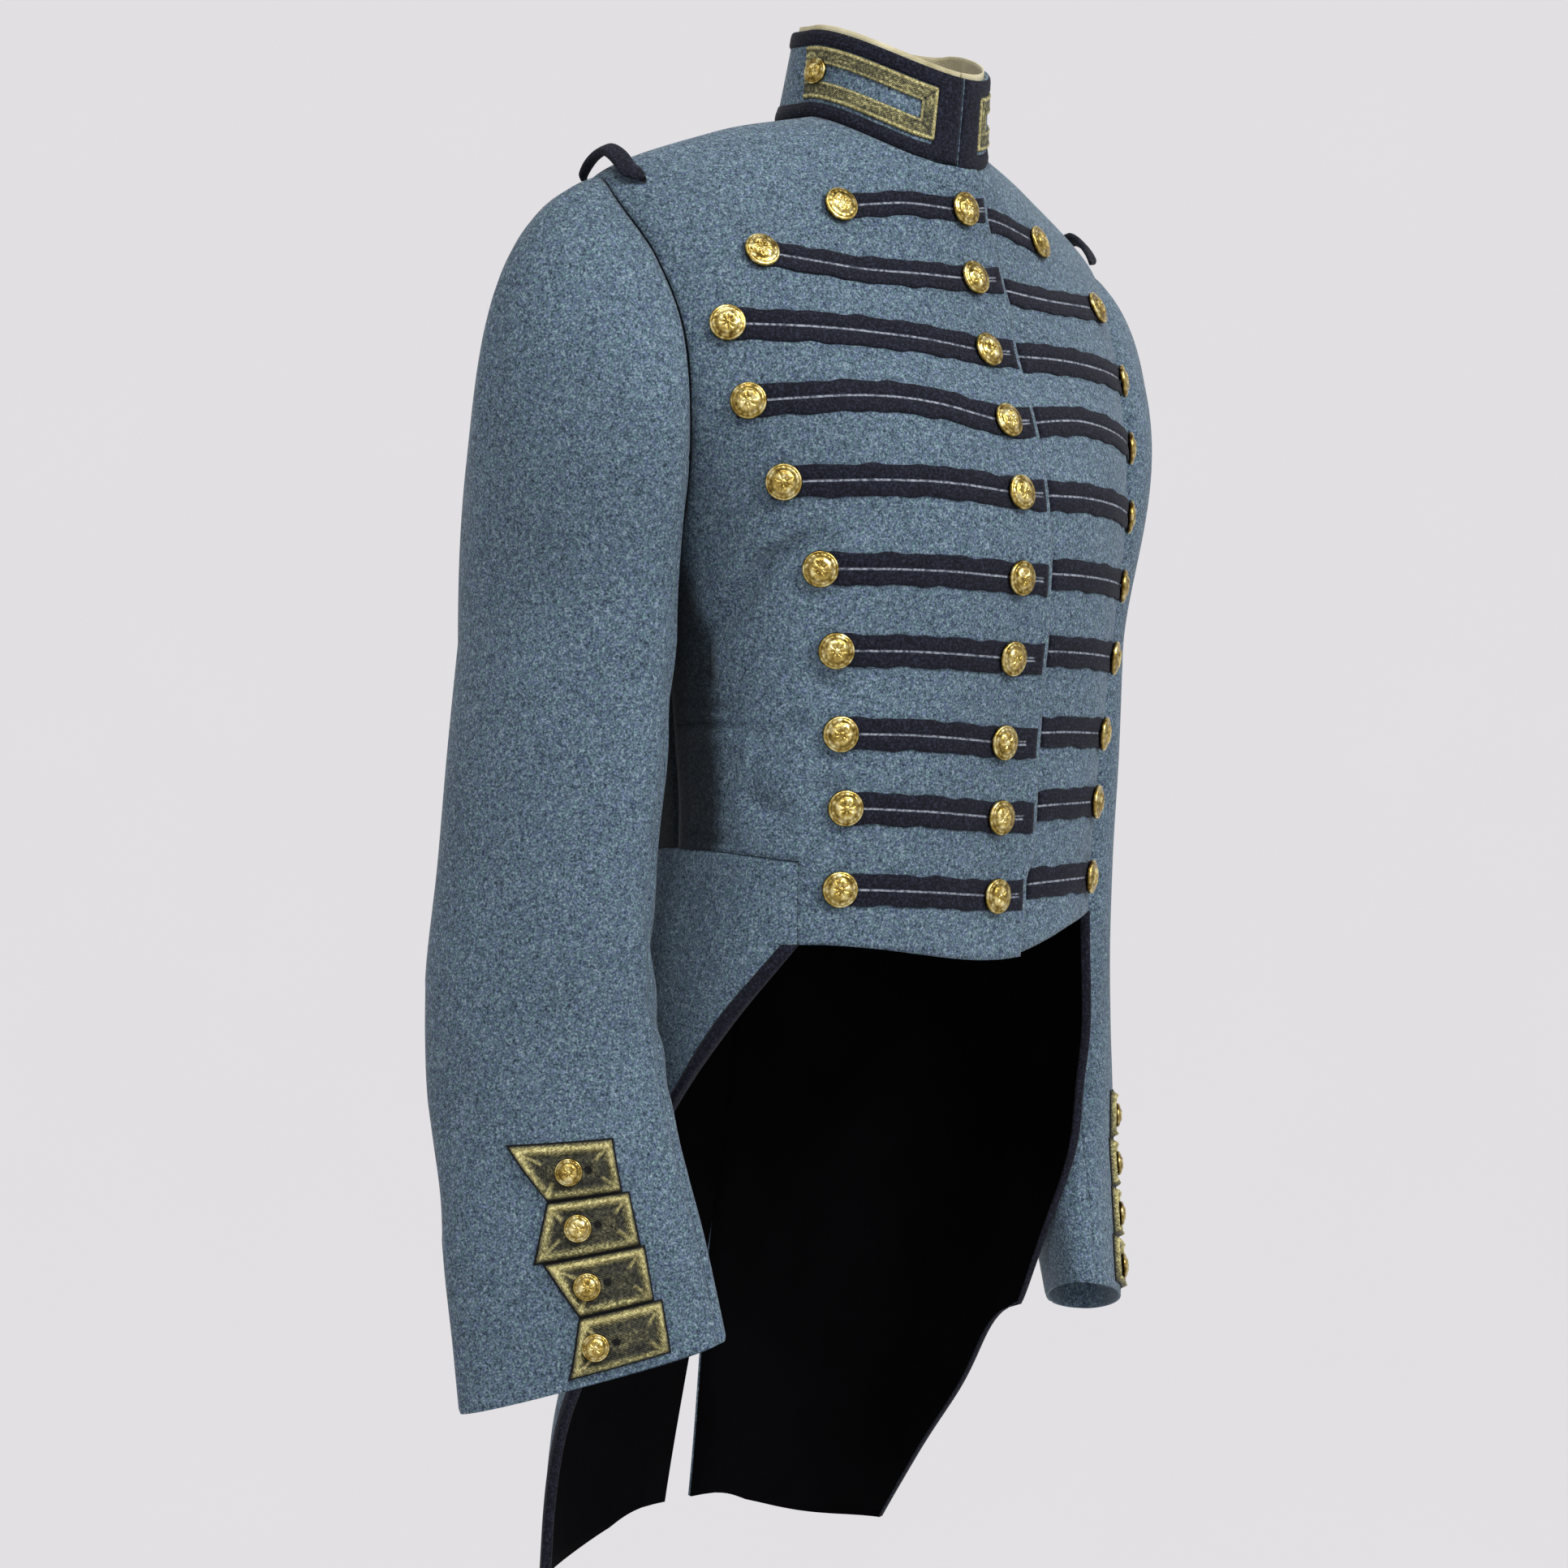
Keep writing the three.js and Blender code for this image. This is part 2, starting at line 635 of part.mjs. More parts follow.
for (const side of sides) {
  const { points, normals } = onBody(tailPlaces(side), side.sign);
  const corner = fronts[side.name].places.length - 1 - waistRow;
  const lastColumn = points[0].length - 1;
  for (let r = 0; r <= corner; r += 1) {
    const p = points[r][0];
    p.addScaledVector(points[r][1].clone().sub(p).normalize(), seam / 2);
  }
  points.forEach((row) => {
    const p = row[lastColumn];
    const apart = seam / 2 + ventGap * smooth(-ventTop, 866, -p.z);
    p.x += side.sign * apart;
  });
  points[0].forEach((p) => {
    p.z -= seam;
  });
  add(`tail_${side.name}`, wall(points, offset(points, normals, -cloth)), materials.wool);
  const lined = (depth) => offset(points, normals, -depth);
  add(`tail_lining_${side.name}`, wall(lined(cloth + seam), lined(cloth + seam + 1.0)), materials.lining);
  const alongEdge = (grid) => part(grid, [corner, points.length - 1], [0, 1]);
  const edging = (height) => offset(alongEdge(points), alongEdge(normals), height);
  add(`tail_edging_${side.name}`, wall(edging(seam + 0.9), edging(seam)), materials.braid);
}

// Sleeves. Each column runs from the armhole over the sleeve head to the first full section, then
// down through the sections.
function armholeRing(name) {
  const rows = fronts[name].places
    .map((row, r) => ({ r, drop: row[seamColumn].drop }))
    .filter(({ r, drop }) => drop >= shoulderDrop - 0.01 && drop <= underarmDrop + 0.01 && r < waistRow)
    .map(({ drop }) => drop);
  const front = rows.map((drop) => ({ angle: seamAngle(drop, false), drop }));
  const back = rows.slice(1, -1).reverse().map((drop) => ({ angle: seamAngle(drop, true), drop }));
  front[front.length - 1] = { angle: sideAngle(underarmDrop), drop: underarmDrop };
  return [...front, ...back].map(({ angle, drop }) => bodyPoint(angle, drop));
}

const columnAzimuth = (column) => (column / sleeveColumns) * 360;

function sleevePoint(sectionIndex, azimuth) {
  const row = Math.min(Math.floor(sectionIndex), sleeveSections.length - 2);
  const t = sectionIndex - row;
  const [above, below] = [sleeveSections[row], sleeveSections[row + 1]];
  const read = (column) => THREE.MathUtils.lerp(above[column], below[column], t);
  const turn = read("turn") * degrees;
  const around = azimuth * degrees - turn;
  const across = read("narrow") * Math.sign(Math.cos(around)) * Math.abs(Math.cos(around)) ** 0.9;
  const along = -read("broad") * Math.sin(around);
  return new THREE.Vector3(
    read("out") + across * Math.cos(turn) + along * Math.sin(turn),
    read("y") - across * Math.sin(turn) + along * Math.cos(turn),
    read("z") - read("slope") * along,
  );
}

// Directions in which the sleeve head leaves the armhole, by column azimuth.
function headDirection(azimuth) {
  const turn = azimuth * degrees;
  const top = Math.max(Math.cos(turn), 0);
  const forward = Math.sin(turn);
  return new THREE.Vector3(0.35 + 0.6 * top, -0.32 * forward, -0.8 + 0.52 * top).normalize();
}

function sleeveGrid(name) {
  const ring = armholeRing(name);
  const rows = [];
  for (let r = 0; r < sleeveHeadRows; r += 1) {
    const t = r / sleeveHeadRows;
    rows.push(ring.map((start, c) => {
      const azimuth = columnAzimuth(c);
      const end = sleevePoint(0, azimuth);
      const from = start.clone().add(new THREE.Vector3(1.5 * seam, 0, 0));
      const reach = from.distanceTo(end);
      const lead = headDirection(azimuth).multiplyScalar(reach * 1.15);
      const arrive = new THREE.Vector3(0, 0, -reach);
      const t2 = t * t;
      const t3 = t2 * t;
      return from
        .multiplyScalar(2 * t3 - 3 * t2 + 1)
        .addScaledVector(lead, t3 - 2 * t2 + t)
        .addScaledVector(end, 3 * t2 - 2 * t3)
        .addScaledVector(arrive, t3 - t2);
    }));
  }
  for (let s = 0; s < sleeveSections.length; s += 1) {
    rows.push(Array.from({ length: sleeveColumns }, (_, c) => sleevePoint(s, columnAzimuth(c))));
  }
  return rows;
}

// Normals of a tube grid that closes on itself around its columns.
function tubeNormals(rows) {
  const columns = rows[0].length;
  return rows.map((row, r) => row.map((_, c) => {
    const around = row[(c + 1) % columns].clone().sub(row[(c + columns - 1) % columns]);
    const above = rows[Math.max(r - 1, 0)][c];
    const below = rows[Math.min(r + 1, rows.length - 1)][c];
    return below.clone().sub(above).cross(around).negate().normalize();
  }));
}

// Reads a tube grid between its points, on the same flat faces that its wall has.
function onTube(rows, r, c) {
  const row = Math.min(Math.floor(r), rows.length - 2);
  const column = Math.floor(c);
  const down = r - row;
  const across = c - column;
  const next = (column + 1) % rows[0].length;
  const [a, b, d, e] = [rows[row][column], rows[row][next], rows[row + 1][next], rows[row + 1][column]];
  const p = a.clone();
  if (across > down) {
    return p.addScaledVector(b.clone().sub(a), across).addScaledVector(d.clone().sub(b), down);
  }
  return p.addScaledVector(e.clone().sub(a), down).addScaledVector(d.clone().sub(e), across);
}

for (const side of sides) {
  const grid = sleeveGrid(side.name);
  const flip = (p) => new THREE.Vector3(side.sign * p.x, p.y, p.z);
  const outward = tubeNormals(grid);
  const points = grid.map((row) => row.map(flip));
  const normals = outward.map((row) => row.map(flip));
  const pieces = [
    { name: "undersleeve", columns: [underColumns[0], underColumns[1]] },
    { name: "topsleeve", columns: [underColumns[1], underColumns[0] + sleeveColumns] },
  ];
  for (const { name, columns } of pieces) {
    const take = (rows) => rows.map((row) => {
      const out = [];
      for (let c = columns[0]; c <= columns[1]; c += 1) out.push(row[c % sleeveColumns].clone());
      return out;
    });
    const outer = take(points);
    pullIn(outer, "first", seam / 2 + 0.02);
    pullIn(outer, "last", seam / 2 + 0.02);
    add(`${name}_${side.name}`, wall(outer, offset(outer, take(normals), -cloth)), materials.wool);
  }
  cuffLace(side, points, normals);
}

// Four lace panels up each cuff, each with its button.
function cuffLace(side, points, normals) {
  const columnOf = (azimuth) => (azimuth / 360) * sleeveColumns;
  const inset = 0.022;
  const curveRoom = 0.4; // keeps the flat panel clear of the curved sleeve between its points
  cuffPanels.forEach((panel, i) => {
    const firstRow = sleeveHeadRows + firstCuffRow + i;
    const lines = [0, 1].map((end) => {
      const r = firstRow + (end ? 1 - inset : inset);
      const outer = end ? panel.bottom : panel.top;
      const second = Math.max(outer + 1.5, 40);
      const fourth = Math.min(panel.inner - 1.5, 80);
      return [outer, second, 60, fourth, panel.inner].map((azimuth) => ({ r, c: columnOf(azimuth) }));
    });
    const base = lines.map((line) => line.map(({ r, c }) => onTube(points, r, c)));
    const facing = lines.map((line) => line.map(({ r, c }) => onTube(normals, r, c).normalize()));
    const patch = raised(offset(base, facing, curveRoom), facing, laceHeight, laceGroove);
    const seatAt = { r: firstRow + 0.5, c: columnOf(52) };
    const normal = onTube(normals, seatAt.r, seatAt.c).normalize();
    const seatHeight = seam + curveRoom + laceHeight - laceGroove;
    const seat = onTube(points, seatAt.r, seatAt.c).addScaledVector(normal, seatHeight);
    const button = buttonAt(seat, normal, smallButton, 0.4);
    add(`cuff_lace_${side.name}_${i + 1}`, joined(patch, button), materials.lace);
  });
}

// Collar: a standing band open at the centre front, drawn in towards the top.
const collarOpening = 3.2; // degrees each side of the centre front
const collarTop = { side: 57, front: 66, back: 44 };
const collarSteps = 26;
const collarRows = [0, bindingWidth / collarHeight, 0.5, 1 - bindingWidth / collarHeight, 1];

function collarPoint(angle, level) {
  const base = bodyPoint(Math.abs(angle), 0);
  const turn = Math.abs(angle) * degrees;
  const front = Math.abs(angle) < 90;
  const top = new THREE.Vector3(
    collarTop.side * Math.sin(turn),
    (front ? -collarTop.front : collarTop.back) * Math.abs(Math.cos(turn)),
    base.z + collarHeight,
  );
  base.z += 0.9 + (angle < 0 ? overlapLift * 0.7 * smooth(30, 4, -angle) : 0);
  const p = base.lerp(top, level);
  if (angle < 0) p.x = -p.x;
  return p;
}

function collarNormal(angle, level) {
  const around = collarPoint(angle + 2, level).sub(collarPoint(angle - 2, level));
  const up = collarPoint(angle, 1).sub(collarPoint(angle, 0));
  return around.cross(up).normalize();
}

const collarAngles = Array.from({ length: collarSteps + 1 }, (_, i) => {
  const from = -360 + collarOpening;
  const angle = from + ((360 - 2 * collarOpening) * i) / collarSteps;
  return angle < -180 ? angle + 360 : angle;
}).sort((a, b) => (a < 0 ? a + 360 : a) - (b < 0 ? b + 360 : b));

function collarGrid(levels, angles = collarAngles) {
  const points = levels.map((level) => angles.map((angle) => collarPoint(angle, level)));
  const normals = levels.map((level) => angles.map((angle) => collarNormal(angle, level)));
  return { points, normals };
}

const collar = collarGrid(collarRows);
add("collar", wall(collar.points, offset(collar.points, collar.normals, -cloth)), materials.wool);
const isBinding = (r, c) => r === 0 || r === collarRows.length - 2 || c === 0 || c === collarSteps - 1;
const onCollar = (height) => offset(collar.points, collar.normals, height);
add("collar_binding", wall(onCollar(seam + 1), onCollar(seam), isBinding), materials.braid);
const liner = collarGrid([0.55, 1 + 3.6 / collarHeight]);
const insideCollar = (depth) => offset(liner.points, liner.normals, -cloth - seam - depth);
add("collar_liner", wall(insideCollar(0), insideCollar(1.1)), materials.cream);

// Lace on each half of the collar, in the window that the binding leaves, with a button at its end.
for (const side of sides) {
  const from = side.name === "left" ? 1 : collarSteps - 1;
  const step = side.name === "left" ? 1 : -1;
  const reach = 6;
  const columns = Array.from({ length: reach + 1 }, (_, i) => from + step * i).sort((a, b) => a - b);
  const take = (grid) => grid.slice(1, 4).map((row) => columns.map((c) => row[c].clone()));
  const base = take(collar.points);
  const facing = take(collar.normals);
  pullIn(base, "top", 0.5);
  pullIn(base, "bottom", 0.5);
  pullIn(base, "first", 0.5);
  pullIn(base, "last", 0.5);
  const band = raised([base[0], base[2]], [facing[0], facing[2]], laceHeight, laceGroove);
  const last = columns.indexOf(from + step * (reach - 1));
  const inner = columns.indexOf(from + step * reach);
  const middle = base[1][last].clone().lerp(base[1][inner], 0.35);
  const normal = facing[1][last].clone().lerp(facing[1][inner], 0.35).normalize();
  const seat = middle.addScaledVector(normal, seam + laceHeight - laceGroove);
  add(`collar_lace_${side.name}`, joined(band, buttonAt(seat, normal, smallButton, 0.4)), materials.lace);
}

// Shoulder loops: flattened cloth tubes that arch over the shoulder near the armhole.
const loop = { out: 186, frontY: -1, backY: 47, width: 11, thick: 4, stand: 0, arch: 6.6, steps: 8 };
for (const side of sides) {
  const onShoulder = (y) => {
    const drop = solve((d) => bodyPoint(angleAtY(y, d), d).x, loop.out, 30, shoulderDrop);
    return bodyPoint(angleAtY(y, drop), drop);
  };
  const tops = [];
  const bottoms = [];
  for (let i = 0; i <= loop.steps; i += 1) {
    const t = i / loop.steps;
    const y = THREE.MathUtils.lerp(loop.frontY, loop.backY, t);
    const ground = onShoulder(y);
    const rise = loop.stand + loop.arch * Math.sin(Math.PI * t) ** 0.6;
    const along = new THREE.Vector3(0, 1, 0);
    const width = new THREE.Vector3(0.88, 0, -0.47);
    const up = width.clone().cross(along).normalize();
    if (up.z < 0) up.negate();
    const centre = ground.addScaledVector(up, rise + loop.thick / 2);
    const across = [-0.5, 0.5].map((k) => centre.clone().addScaledVector(width, k * loop.width));
    tops.push(across.map((p) => p.clone().addScaledVector(up, loop.thick / 2)));
    bottoms.push(across.map((p) => p.clone().addScaledVector(up, -loop.thick / 2)));
  }
  const flip = (rows) => rows.map((row) => row.map((p) => new THREE.Vector3(side.sign * p.x, p.y, p.z)));
  add(`shoulder_loop_${side.name}`, wall(flip(tops), flip(bottoms)), materials.braid);
}

export default jacket;
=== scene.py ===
# Military jacket: a blue-grey wool tail coat with a braided front, in the shape it has when worn.
# Sizes are in millimetres and turn into metres when a mesh is made. +Z is up, the wearer faces -Y and
# the wearer's left is +X. The origin is the middle of the collar.
import math

import bpy
import numpy as np
from mathutils import Matrix, Vector


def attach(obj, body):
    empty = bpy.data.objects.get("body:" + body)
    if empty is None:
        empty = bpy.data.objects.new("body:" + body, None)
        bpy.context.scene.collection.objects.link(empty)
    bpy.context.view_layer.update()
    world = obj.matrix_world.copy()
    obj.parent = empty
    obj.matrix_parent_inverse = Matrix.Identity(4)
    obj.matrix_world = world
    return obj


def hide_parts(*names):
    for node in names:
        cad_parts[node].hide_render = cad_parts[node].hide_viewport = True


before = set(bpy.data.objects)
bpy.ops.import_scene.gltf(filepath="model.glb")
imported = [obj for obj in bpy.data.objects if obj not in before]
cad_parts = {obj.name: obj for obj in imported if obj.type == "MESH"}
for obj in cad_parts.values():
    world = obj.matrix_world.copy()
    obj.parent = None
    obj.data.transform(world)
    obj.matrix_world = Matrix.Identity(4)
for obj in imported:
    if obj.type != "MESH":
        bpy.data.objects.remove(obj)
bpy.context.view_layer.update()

MM = 0.001

# Driving dimensions, the same as the solids' unless a comment says otherwise
CLOTH = 2.4
SEAM = 0.3
OVERLAP_LIFT = 3.1
OVERLAP_FULL = 34
OVERLAP_END = 85
UNDERLAP = 25
SHOULDER_DROP = 68
UNDERARM_DROP = 292
ARMHOLE_HALF_WIDTH = 52
ARMHOLE_POWER = 0.7
UNDERARM_Y = 27
WAIST_DROP = 433
WAIST_DROP_BACK = 440
WAIST_Z = -437
HEM_SEAM_OUT = 119
HEM_CENTRE_Z = -496
COLLAR_HEIGHT = 50
BINDING = 9
EDGING = 9
BRAID_HEIGHT = 1.4
LACE_HEIGHT = 1.6
FRONT_BUTTON = {"radius": 10, "height": 5.4}
SMALL_BUTTON = {"radius": 7.5, "height": 4.4}
NECK_EDGE = 15
TAIL_HEM_BACK_Z = -840
VENT_TOP = -640
VENT_GAP = 11

FOLD_DEPTH = 1.5  # multiplies the depth of every crease

# Spacing of the fine meshes' points
BODY_STEP = 2.6
TAIL_STEP = 3.8
LINING_STEP = 7
BRAID_STEP = 2.4


def table(columns, rows):
    return {name: np.array([row[i] for row in rows], float) for i, name in enumerate(columns)}


# Sections of the body: see the meaning of each column at body_point.
BODY = table(
    ["drop", "side", "ridge", "front", "back", "side_z", "front_z", "back_z", "front_square", "back_square"],
    [
        [0, 61, 0, 60, 62, -18, -48, -7, 2.0, 2.0],
        [31, 118, 10, 60, 80, -33, -66, -27, 1.75, 2.0],
        [68, 194, 22, 66, 98, -67, -103, -76, 1.65, 2.0],
        [110, 193, 20, 73, 106, -110, -130, -114, 2.1, 2.4],
        [153, 186, 18, 79, 110, -153, -156, -153, 2.5, 2.9],
        [194, 178, 17, 93, 113, -194, -194, -194, 2.6, 3.2],
        [237, 165, 16, 103.5, 115, -237, -237, -237, 2.65, 3.2],
        [283, 152, 15, 103.5, 116, -283, -283, -283, 2.8, 3.0],
        [327, 143, 13, 97, 115, -327, -327, -327, 3.1, 2.8],
        [371, 138, 12, 90.5, 114, -371, -371, -371, 3.2, 2.7],
        [412, 135, 11, 88, 115, -412, -412, -412, 3.1, 2.6],
        [457, 137, 12, 85, 118, -457, -457, -457, 2.85, 2.6],
        [495, 142, 14, 84, 122, -495, -495, -495, 2.7, 2.7],
        [575, 150, 18, 84, 135, -575, -575, -575, 2.6, 3.0],
        [640, 146, 20, 84, 147, -640, -640, -640, 2.6, 3.4],
        [700, 141, 22, 84, 158, -700, -700, -700, 2.6, 3.7],
        [777, 147, 26, 84, 172, -777, -777, -777, 2.6, 4.2],
        [870, 144, 30, 84, 189, -870, -870, -870, 2.6, 4.2],
    ],
)

# Braid bars from the neck down. out is the outer button's distance from the centre line, the heights are
# those of the bar's middle line at that button, halfway, at the centre line and at the front edge, edge is
# how far the right front reaches past the centre line, and the drops are where the bar's two edges would
# meet the armhole or side seam.
BARS = table(
    ["out", "outer_z", "mid_z", "centre_z", "edge_z", "edge", "upper_drop", "lower_drop", "width"],
    [
        [80, -79, -74, -73, -69, 24, 33, 51, 14],
        [137, -111, -115.5, -113.5, -110, 30, 68, 93, 15.5],
        [161, -152, -151.5, -155.5, -154, 29, 118, 143, 17.5],
        [155, -194, -188, -196.5, -194, 28, 168, 193, 17.5],
        [140, -237, -234, -236.5, -236, 27, 218, 243, 17.5],
        [122, -283, -282, -283, -283, 29, 267.5, 292, 17.5],
        [112, -326.5, -326, -327, -327, 32, 318, 335, 17.5],
        [106, -371, -371.5, -374, -374, 34, 362, 379, 17.5],
        [101, -411, -413, -416, -416, 34, 402, 418, 17.5],
        [101, -455, -457, -460, -460, 28, 0, 0, 17.5],
    ],
)
BAR_COUNT = len(BARS["out"])

SIDES = [
    {"name": "right", "sign": -1, "rise": 0, "hem_corner_z": -485},
    {"name": "left", "sign": 1, "rise": 4, "hem_corner_z": -472},
]

# Front edge of each tail from the hem corner down: height, and place along Y on each side. From z -720 down
# the right edge lies 4 to 10 mm further back than the solid's.
TAIL_EDGE = table(
    ["z", "right", "left"],
    [
        [-485, -62, -62],
        [-530, -22, -46],
        [-575, 14, -30],
        [-614, 34, -24],
        [-660, 58, -4],
        [-720, 96, 32],
        [-777, 126, 78],
        [-826, 142, 114],
        [-866, 148, 138],
    ],
)

# Sections of a sleeve: middle (out from the neck axis, along Y and height), half sizes across and along
# the broad side, how far the broad side has turned to face forward, and the slope of the ring.
SLEEVE = table(
    ["row", "out", "y", "z", "narrow", "broad", "turn", "slope"],
    [
        [0, 195, 50, -320, 42, 65, 18, 0.0],
        [1, 199, 53, -380, 42, 64, 24, 0.02],
        [2, 203, 57, -440, 41, 62, 30, 0.03],
        [3, 206, 59, -500, 40, 64, 36, 0.04],
        [4, 206, 55, -548, 38, 66, 40, 0.05],
        [5, 205, 48, -590, 35, 67, 43, 0.07],
        [6, 203, 42, -621, 32, 68, 45, 0.13],
        [7, 202, 35, -652, 29, 70, 46, 0.18],
        [8, 201, 28, -683, 26, 71, 47, 0.22],
        [9, 200, 22, -713, 24, 72, 48, 0.26],
        [10, 200, 21, -718, 24, 72, 48, 0.27],
    ],
)
FIRST_CUFF_ROW = 5
SLEEVE_COLUMNS = 18
UNDERSLEEVE = (6, 13)

CUFF_PANELS = table(
    ["top", "bottom", "inner"],
    [
        [26, 40.5, 74.5],
        [40.5, 31.5, 78],
        [35.5, 47, 80],
        [47, 40, 84],
    ],
)
CUFF_BUTTON_AZIMUTH = 52
BUTTONHOLE_TURN = 8.8  # degrees from a cuff button round to its hole

# Degrees from the centre front to the collar's ends: the solid's, and the closer ones of the cloth here
COLLAR_OPENING = 3.2
CLOSED_OPENING = 0.7
COLLAR_TOP = {"side": 57, "front": 66, "back": 44}
COLLAR_STEPS = 26
COLLAR_STEP_ANGLE = (360 - 2 * COLLAR_OPENING) / COLLAR_STEPS
COLLAR_LACE_STEPS = 6

# The shoulder loops are 1.4 mm thicker than the solids'.
LOOP = {"out": 186, "front_y": -1, "back_y": 47, "width": 11, "thick": 5.4, "arch": 6.6}


# Interpolation and search


def smooth(start, end, value):
    t = np.clip((value - start) / (end - start), 0, 1)
    return t * t * (3 - 2 * t)


def mix(a, b, t):
    return a + (b - a) * t


def curve(keys, values, at, corners=()):
    """Smooth curve through values at rising keys. Its slope may break at the corners."""
    at = np.asarray(at, float)
    last = len(keys) - 1
    breaks = np.zeros(last + 1, bool)
    breaks[[0, last, *corners]] = True
    i = np.clip(np.searchsorted(keys, at) - 1, 0, last - 1)
    before = np.where(breaks[i], i, i - 1)
    after = np.where(breaks[i + 1], i + 1, i + 2)
    trailing = (1,) * (values.ndim - 1)
    shaped = lambda x: np.reshape(x, x.shape + trailing)
    span = shaped(keys[i + 1] - keys[i])
    t = shaped(np.clip((at - keys[i]) / (keys[i + 1] - keys[i]), 0, 1))
    slope_a = (values[i + 1] - values[before]) / shaped(keys[i + 1] - keys[before]) * span
    slope_b = (values[after] - values[i]) / shaped(keys[after] - keys[i]) * span
    t2, t3 = t * t, t * t * t
    return (
        (2 * t3 - 3 * t2 + 1) * values[i]
        + (t3 - 2 * t2 + t) * slope_a
        + (3 * t2 - 2 * t3) * values[i + 1]
        + (t3 - t2) * slope_b
    )


def read(rows, key, at, column):
    keys, at = rows[key], np.asarray(at, float)
    if keys[1] < keys[0]:
        keys, at = -keys, -at
    return curve(keys, rows[column], at)


def solve(rising, target, low, high):
    """Where between low and high a rising function reaches each target."""
    target = np.asarray(target, float)
    low, high = np.full(target.shape, float(low)), np.full(target.shape, float(high))
    for _ in range(32):
        middle = (low + high) / 2
        below = rising(middle) < target
        low, high = np.where(below, middle, low), np.where(below, high, middle)
    return (low + high) / 2


# Surface of the body

BODY_COLUMNS = [name for name in BODY if name != "drop"]
BODY_VALUES = np.stack([BODY[name] for name in BODY_COLUMNS], axis=-1)


def section(drop):
    values = curve(BODY["drop"], BODY_VALUES, drop)
    return {name: values[..., i] for i, name in enumerate(BODY_COLUMNS)}


def body_point(angle, drop):
    """The body's outer surface on the side of positive X.

    angle is 0 at the centre front, 90 at the shoulder line and side, and 180 at the centre back. drop is
    roughly the depth below the neck. In a section, side, front and back are distances from the neck axis,
    ridge is where the widest point lies along Y, the three heights are those of the section's ends, and
    the squares are superellipse exponents.
    """
    angle, drop = np.broadcast_arrays(np.asarray(angle, float), np.asarray(drop, float))
    at = section(drop)
    front = np.abs(angle) < 90
    power = 2 / np.where(front, at["front_square"], at["back_square"])
    sine = np.sin(np.radians(angle))
    cosine = np.abs(np.cos(np.radians(angle)))
    reach = np.where(front, -(at["front"] + at["ridge"]), at["back"] - at["ridge"])
    end_z = np.where(front, at["front_z"], at["back_z"])
    return np.stack(
        [
            at["side"] * np.sign(sine) * np.abs(sine) ** power,
            at["ridge"] + reach * cosine**power,
            at["side_z"] + (end_z - at["side_z"]) * cosine**1.5,
        ],
        axis=-1,
    )


def unit(vectors):
    return vectors / np.maximum(np.linalg.norm(vectors, axis=-1, keepdims=True), 1e-9)


def body_normal(angle, drop):
    around = body_point(angle + 2.5, drop) - body_point(angle - 2.5, drop)
    upper = np.maximum(drop - 4, 0)
    down = body_point(angle, upper + 8) - body_point(angle, upper)
    return unit(np.cross(down, around))


def angle_at_out(out, drop):
    out, drop = np.broadcast_arrays(np.asarray(out, float), np.asarray(drop, float))
    at = section(drop)
    sine = np.clip(np.abs(out) / at["side"], 0, 1) ** (at["front_square"] / 2)
    return np.sign(out) * np.degrees(np.arcsin(sine))


def angle_at_y(y, drop):
    y, drop = np.broadcast_arrays(np.asarray(y, float), np.asarray(drop, float))
    at = section(drop)
    front = y < at["ridge"]
    reach = np.where(front, -(at["front"] + at["ridge"]), at["back"] - at["ridge"])
    square = np.where(front, at["front_square"], at["back_square"])
    angle = np.degrees(np.arccos(np.clip((y - at["ridge"]) / reach, 0, 1) ** (square / 2)))
    return np.where(front, angle, 180 - angle)


def locate(out, z):
    """The surface position at a distance from the centre line and a height."""
    out, z = np.broadcast_arrays(np.asarray(out, float), np.asarray(z, float))
    drop = -z
    for _ in range(26):
        angle = angle_at_out(out, drop)
        drop = np.maximum(drop + 0.8 * (body_point(angle, drop)[..., 2] - z), 0)
    return angle_at_out(out, drop), drop


def armhole_angle(drop, back):
    t = np.clip((drop - SHOULDER_DROP) / (UNDERARM_DROP - SHOULDER_DROP), 0, 1)
    top = read(BODY, "drop", SHOULDER_DROP, "ridge")
    half = ARMHOLE_HALF_WIDTH * np.sin(math.pi * t) ** ARMHOLE_POWER
    y = mix(top, UNDERARM_Y, t) + np.where(back, half, -half)
    return np.where(t <= 0, 90, angle_at_y(y, drop))


def seam_angle(drop, back):
    drop = np.asarray(drop, float)
    return np.where(drop < UNDERARM_DROP, armhole_angle(drop, back), angle_at_y(UNDERARM_Y, drop))


# Grids of points


def grid_normals(points, centre):
    """Unit normals of a grid, on the side away from a centre."""
    normals = unit(np.cross(np.gradient(points, axis=0), np.gradient(points, axis=1)))
    if np.sum(normals * (points - centre)) < 0:
        normals = -normals
    return normals


def steps_between(points, axis):
    """Mean running length of a grid along one axis, as rising keys."""
    lengths = np.linalg.norm(np.diff(points, axis=axis), axis=-1).mean(axis=1 - axis)
    return np.concatenate([[0], np.cumsum(np.maximum(lengths, 0.5))])


def stations(keys, step):
    """Fine keys that include every coarse one."""
    fine = [keys[:1]]
    for a, b in zip(keys[:-1], keys[1:]):
        count = max(int(round((b - a) / step)), 1)
        fine.append(np.linspace(a, b, count + 1)[1:])
    return np.concatenate(fine)


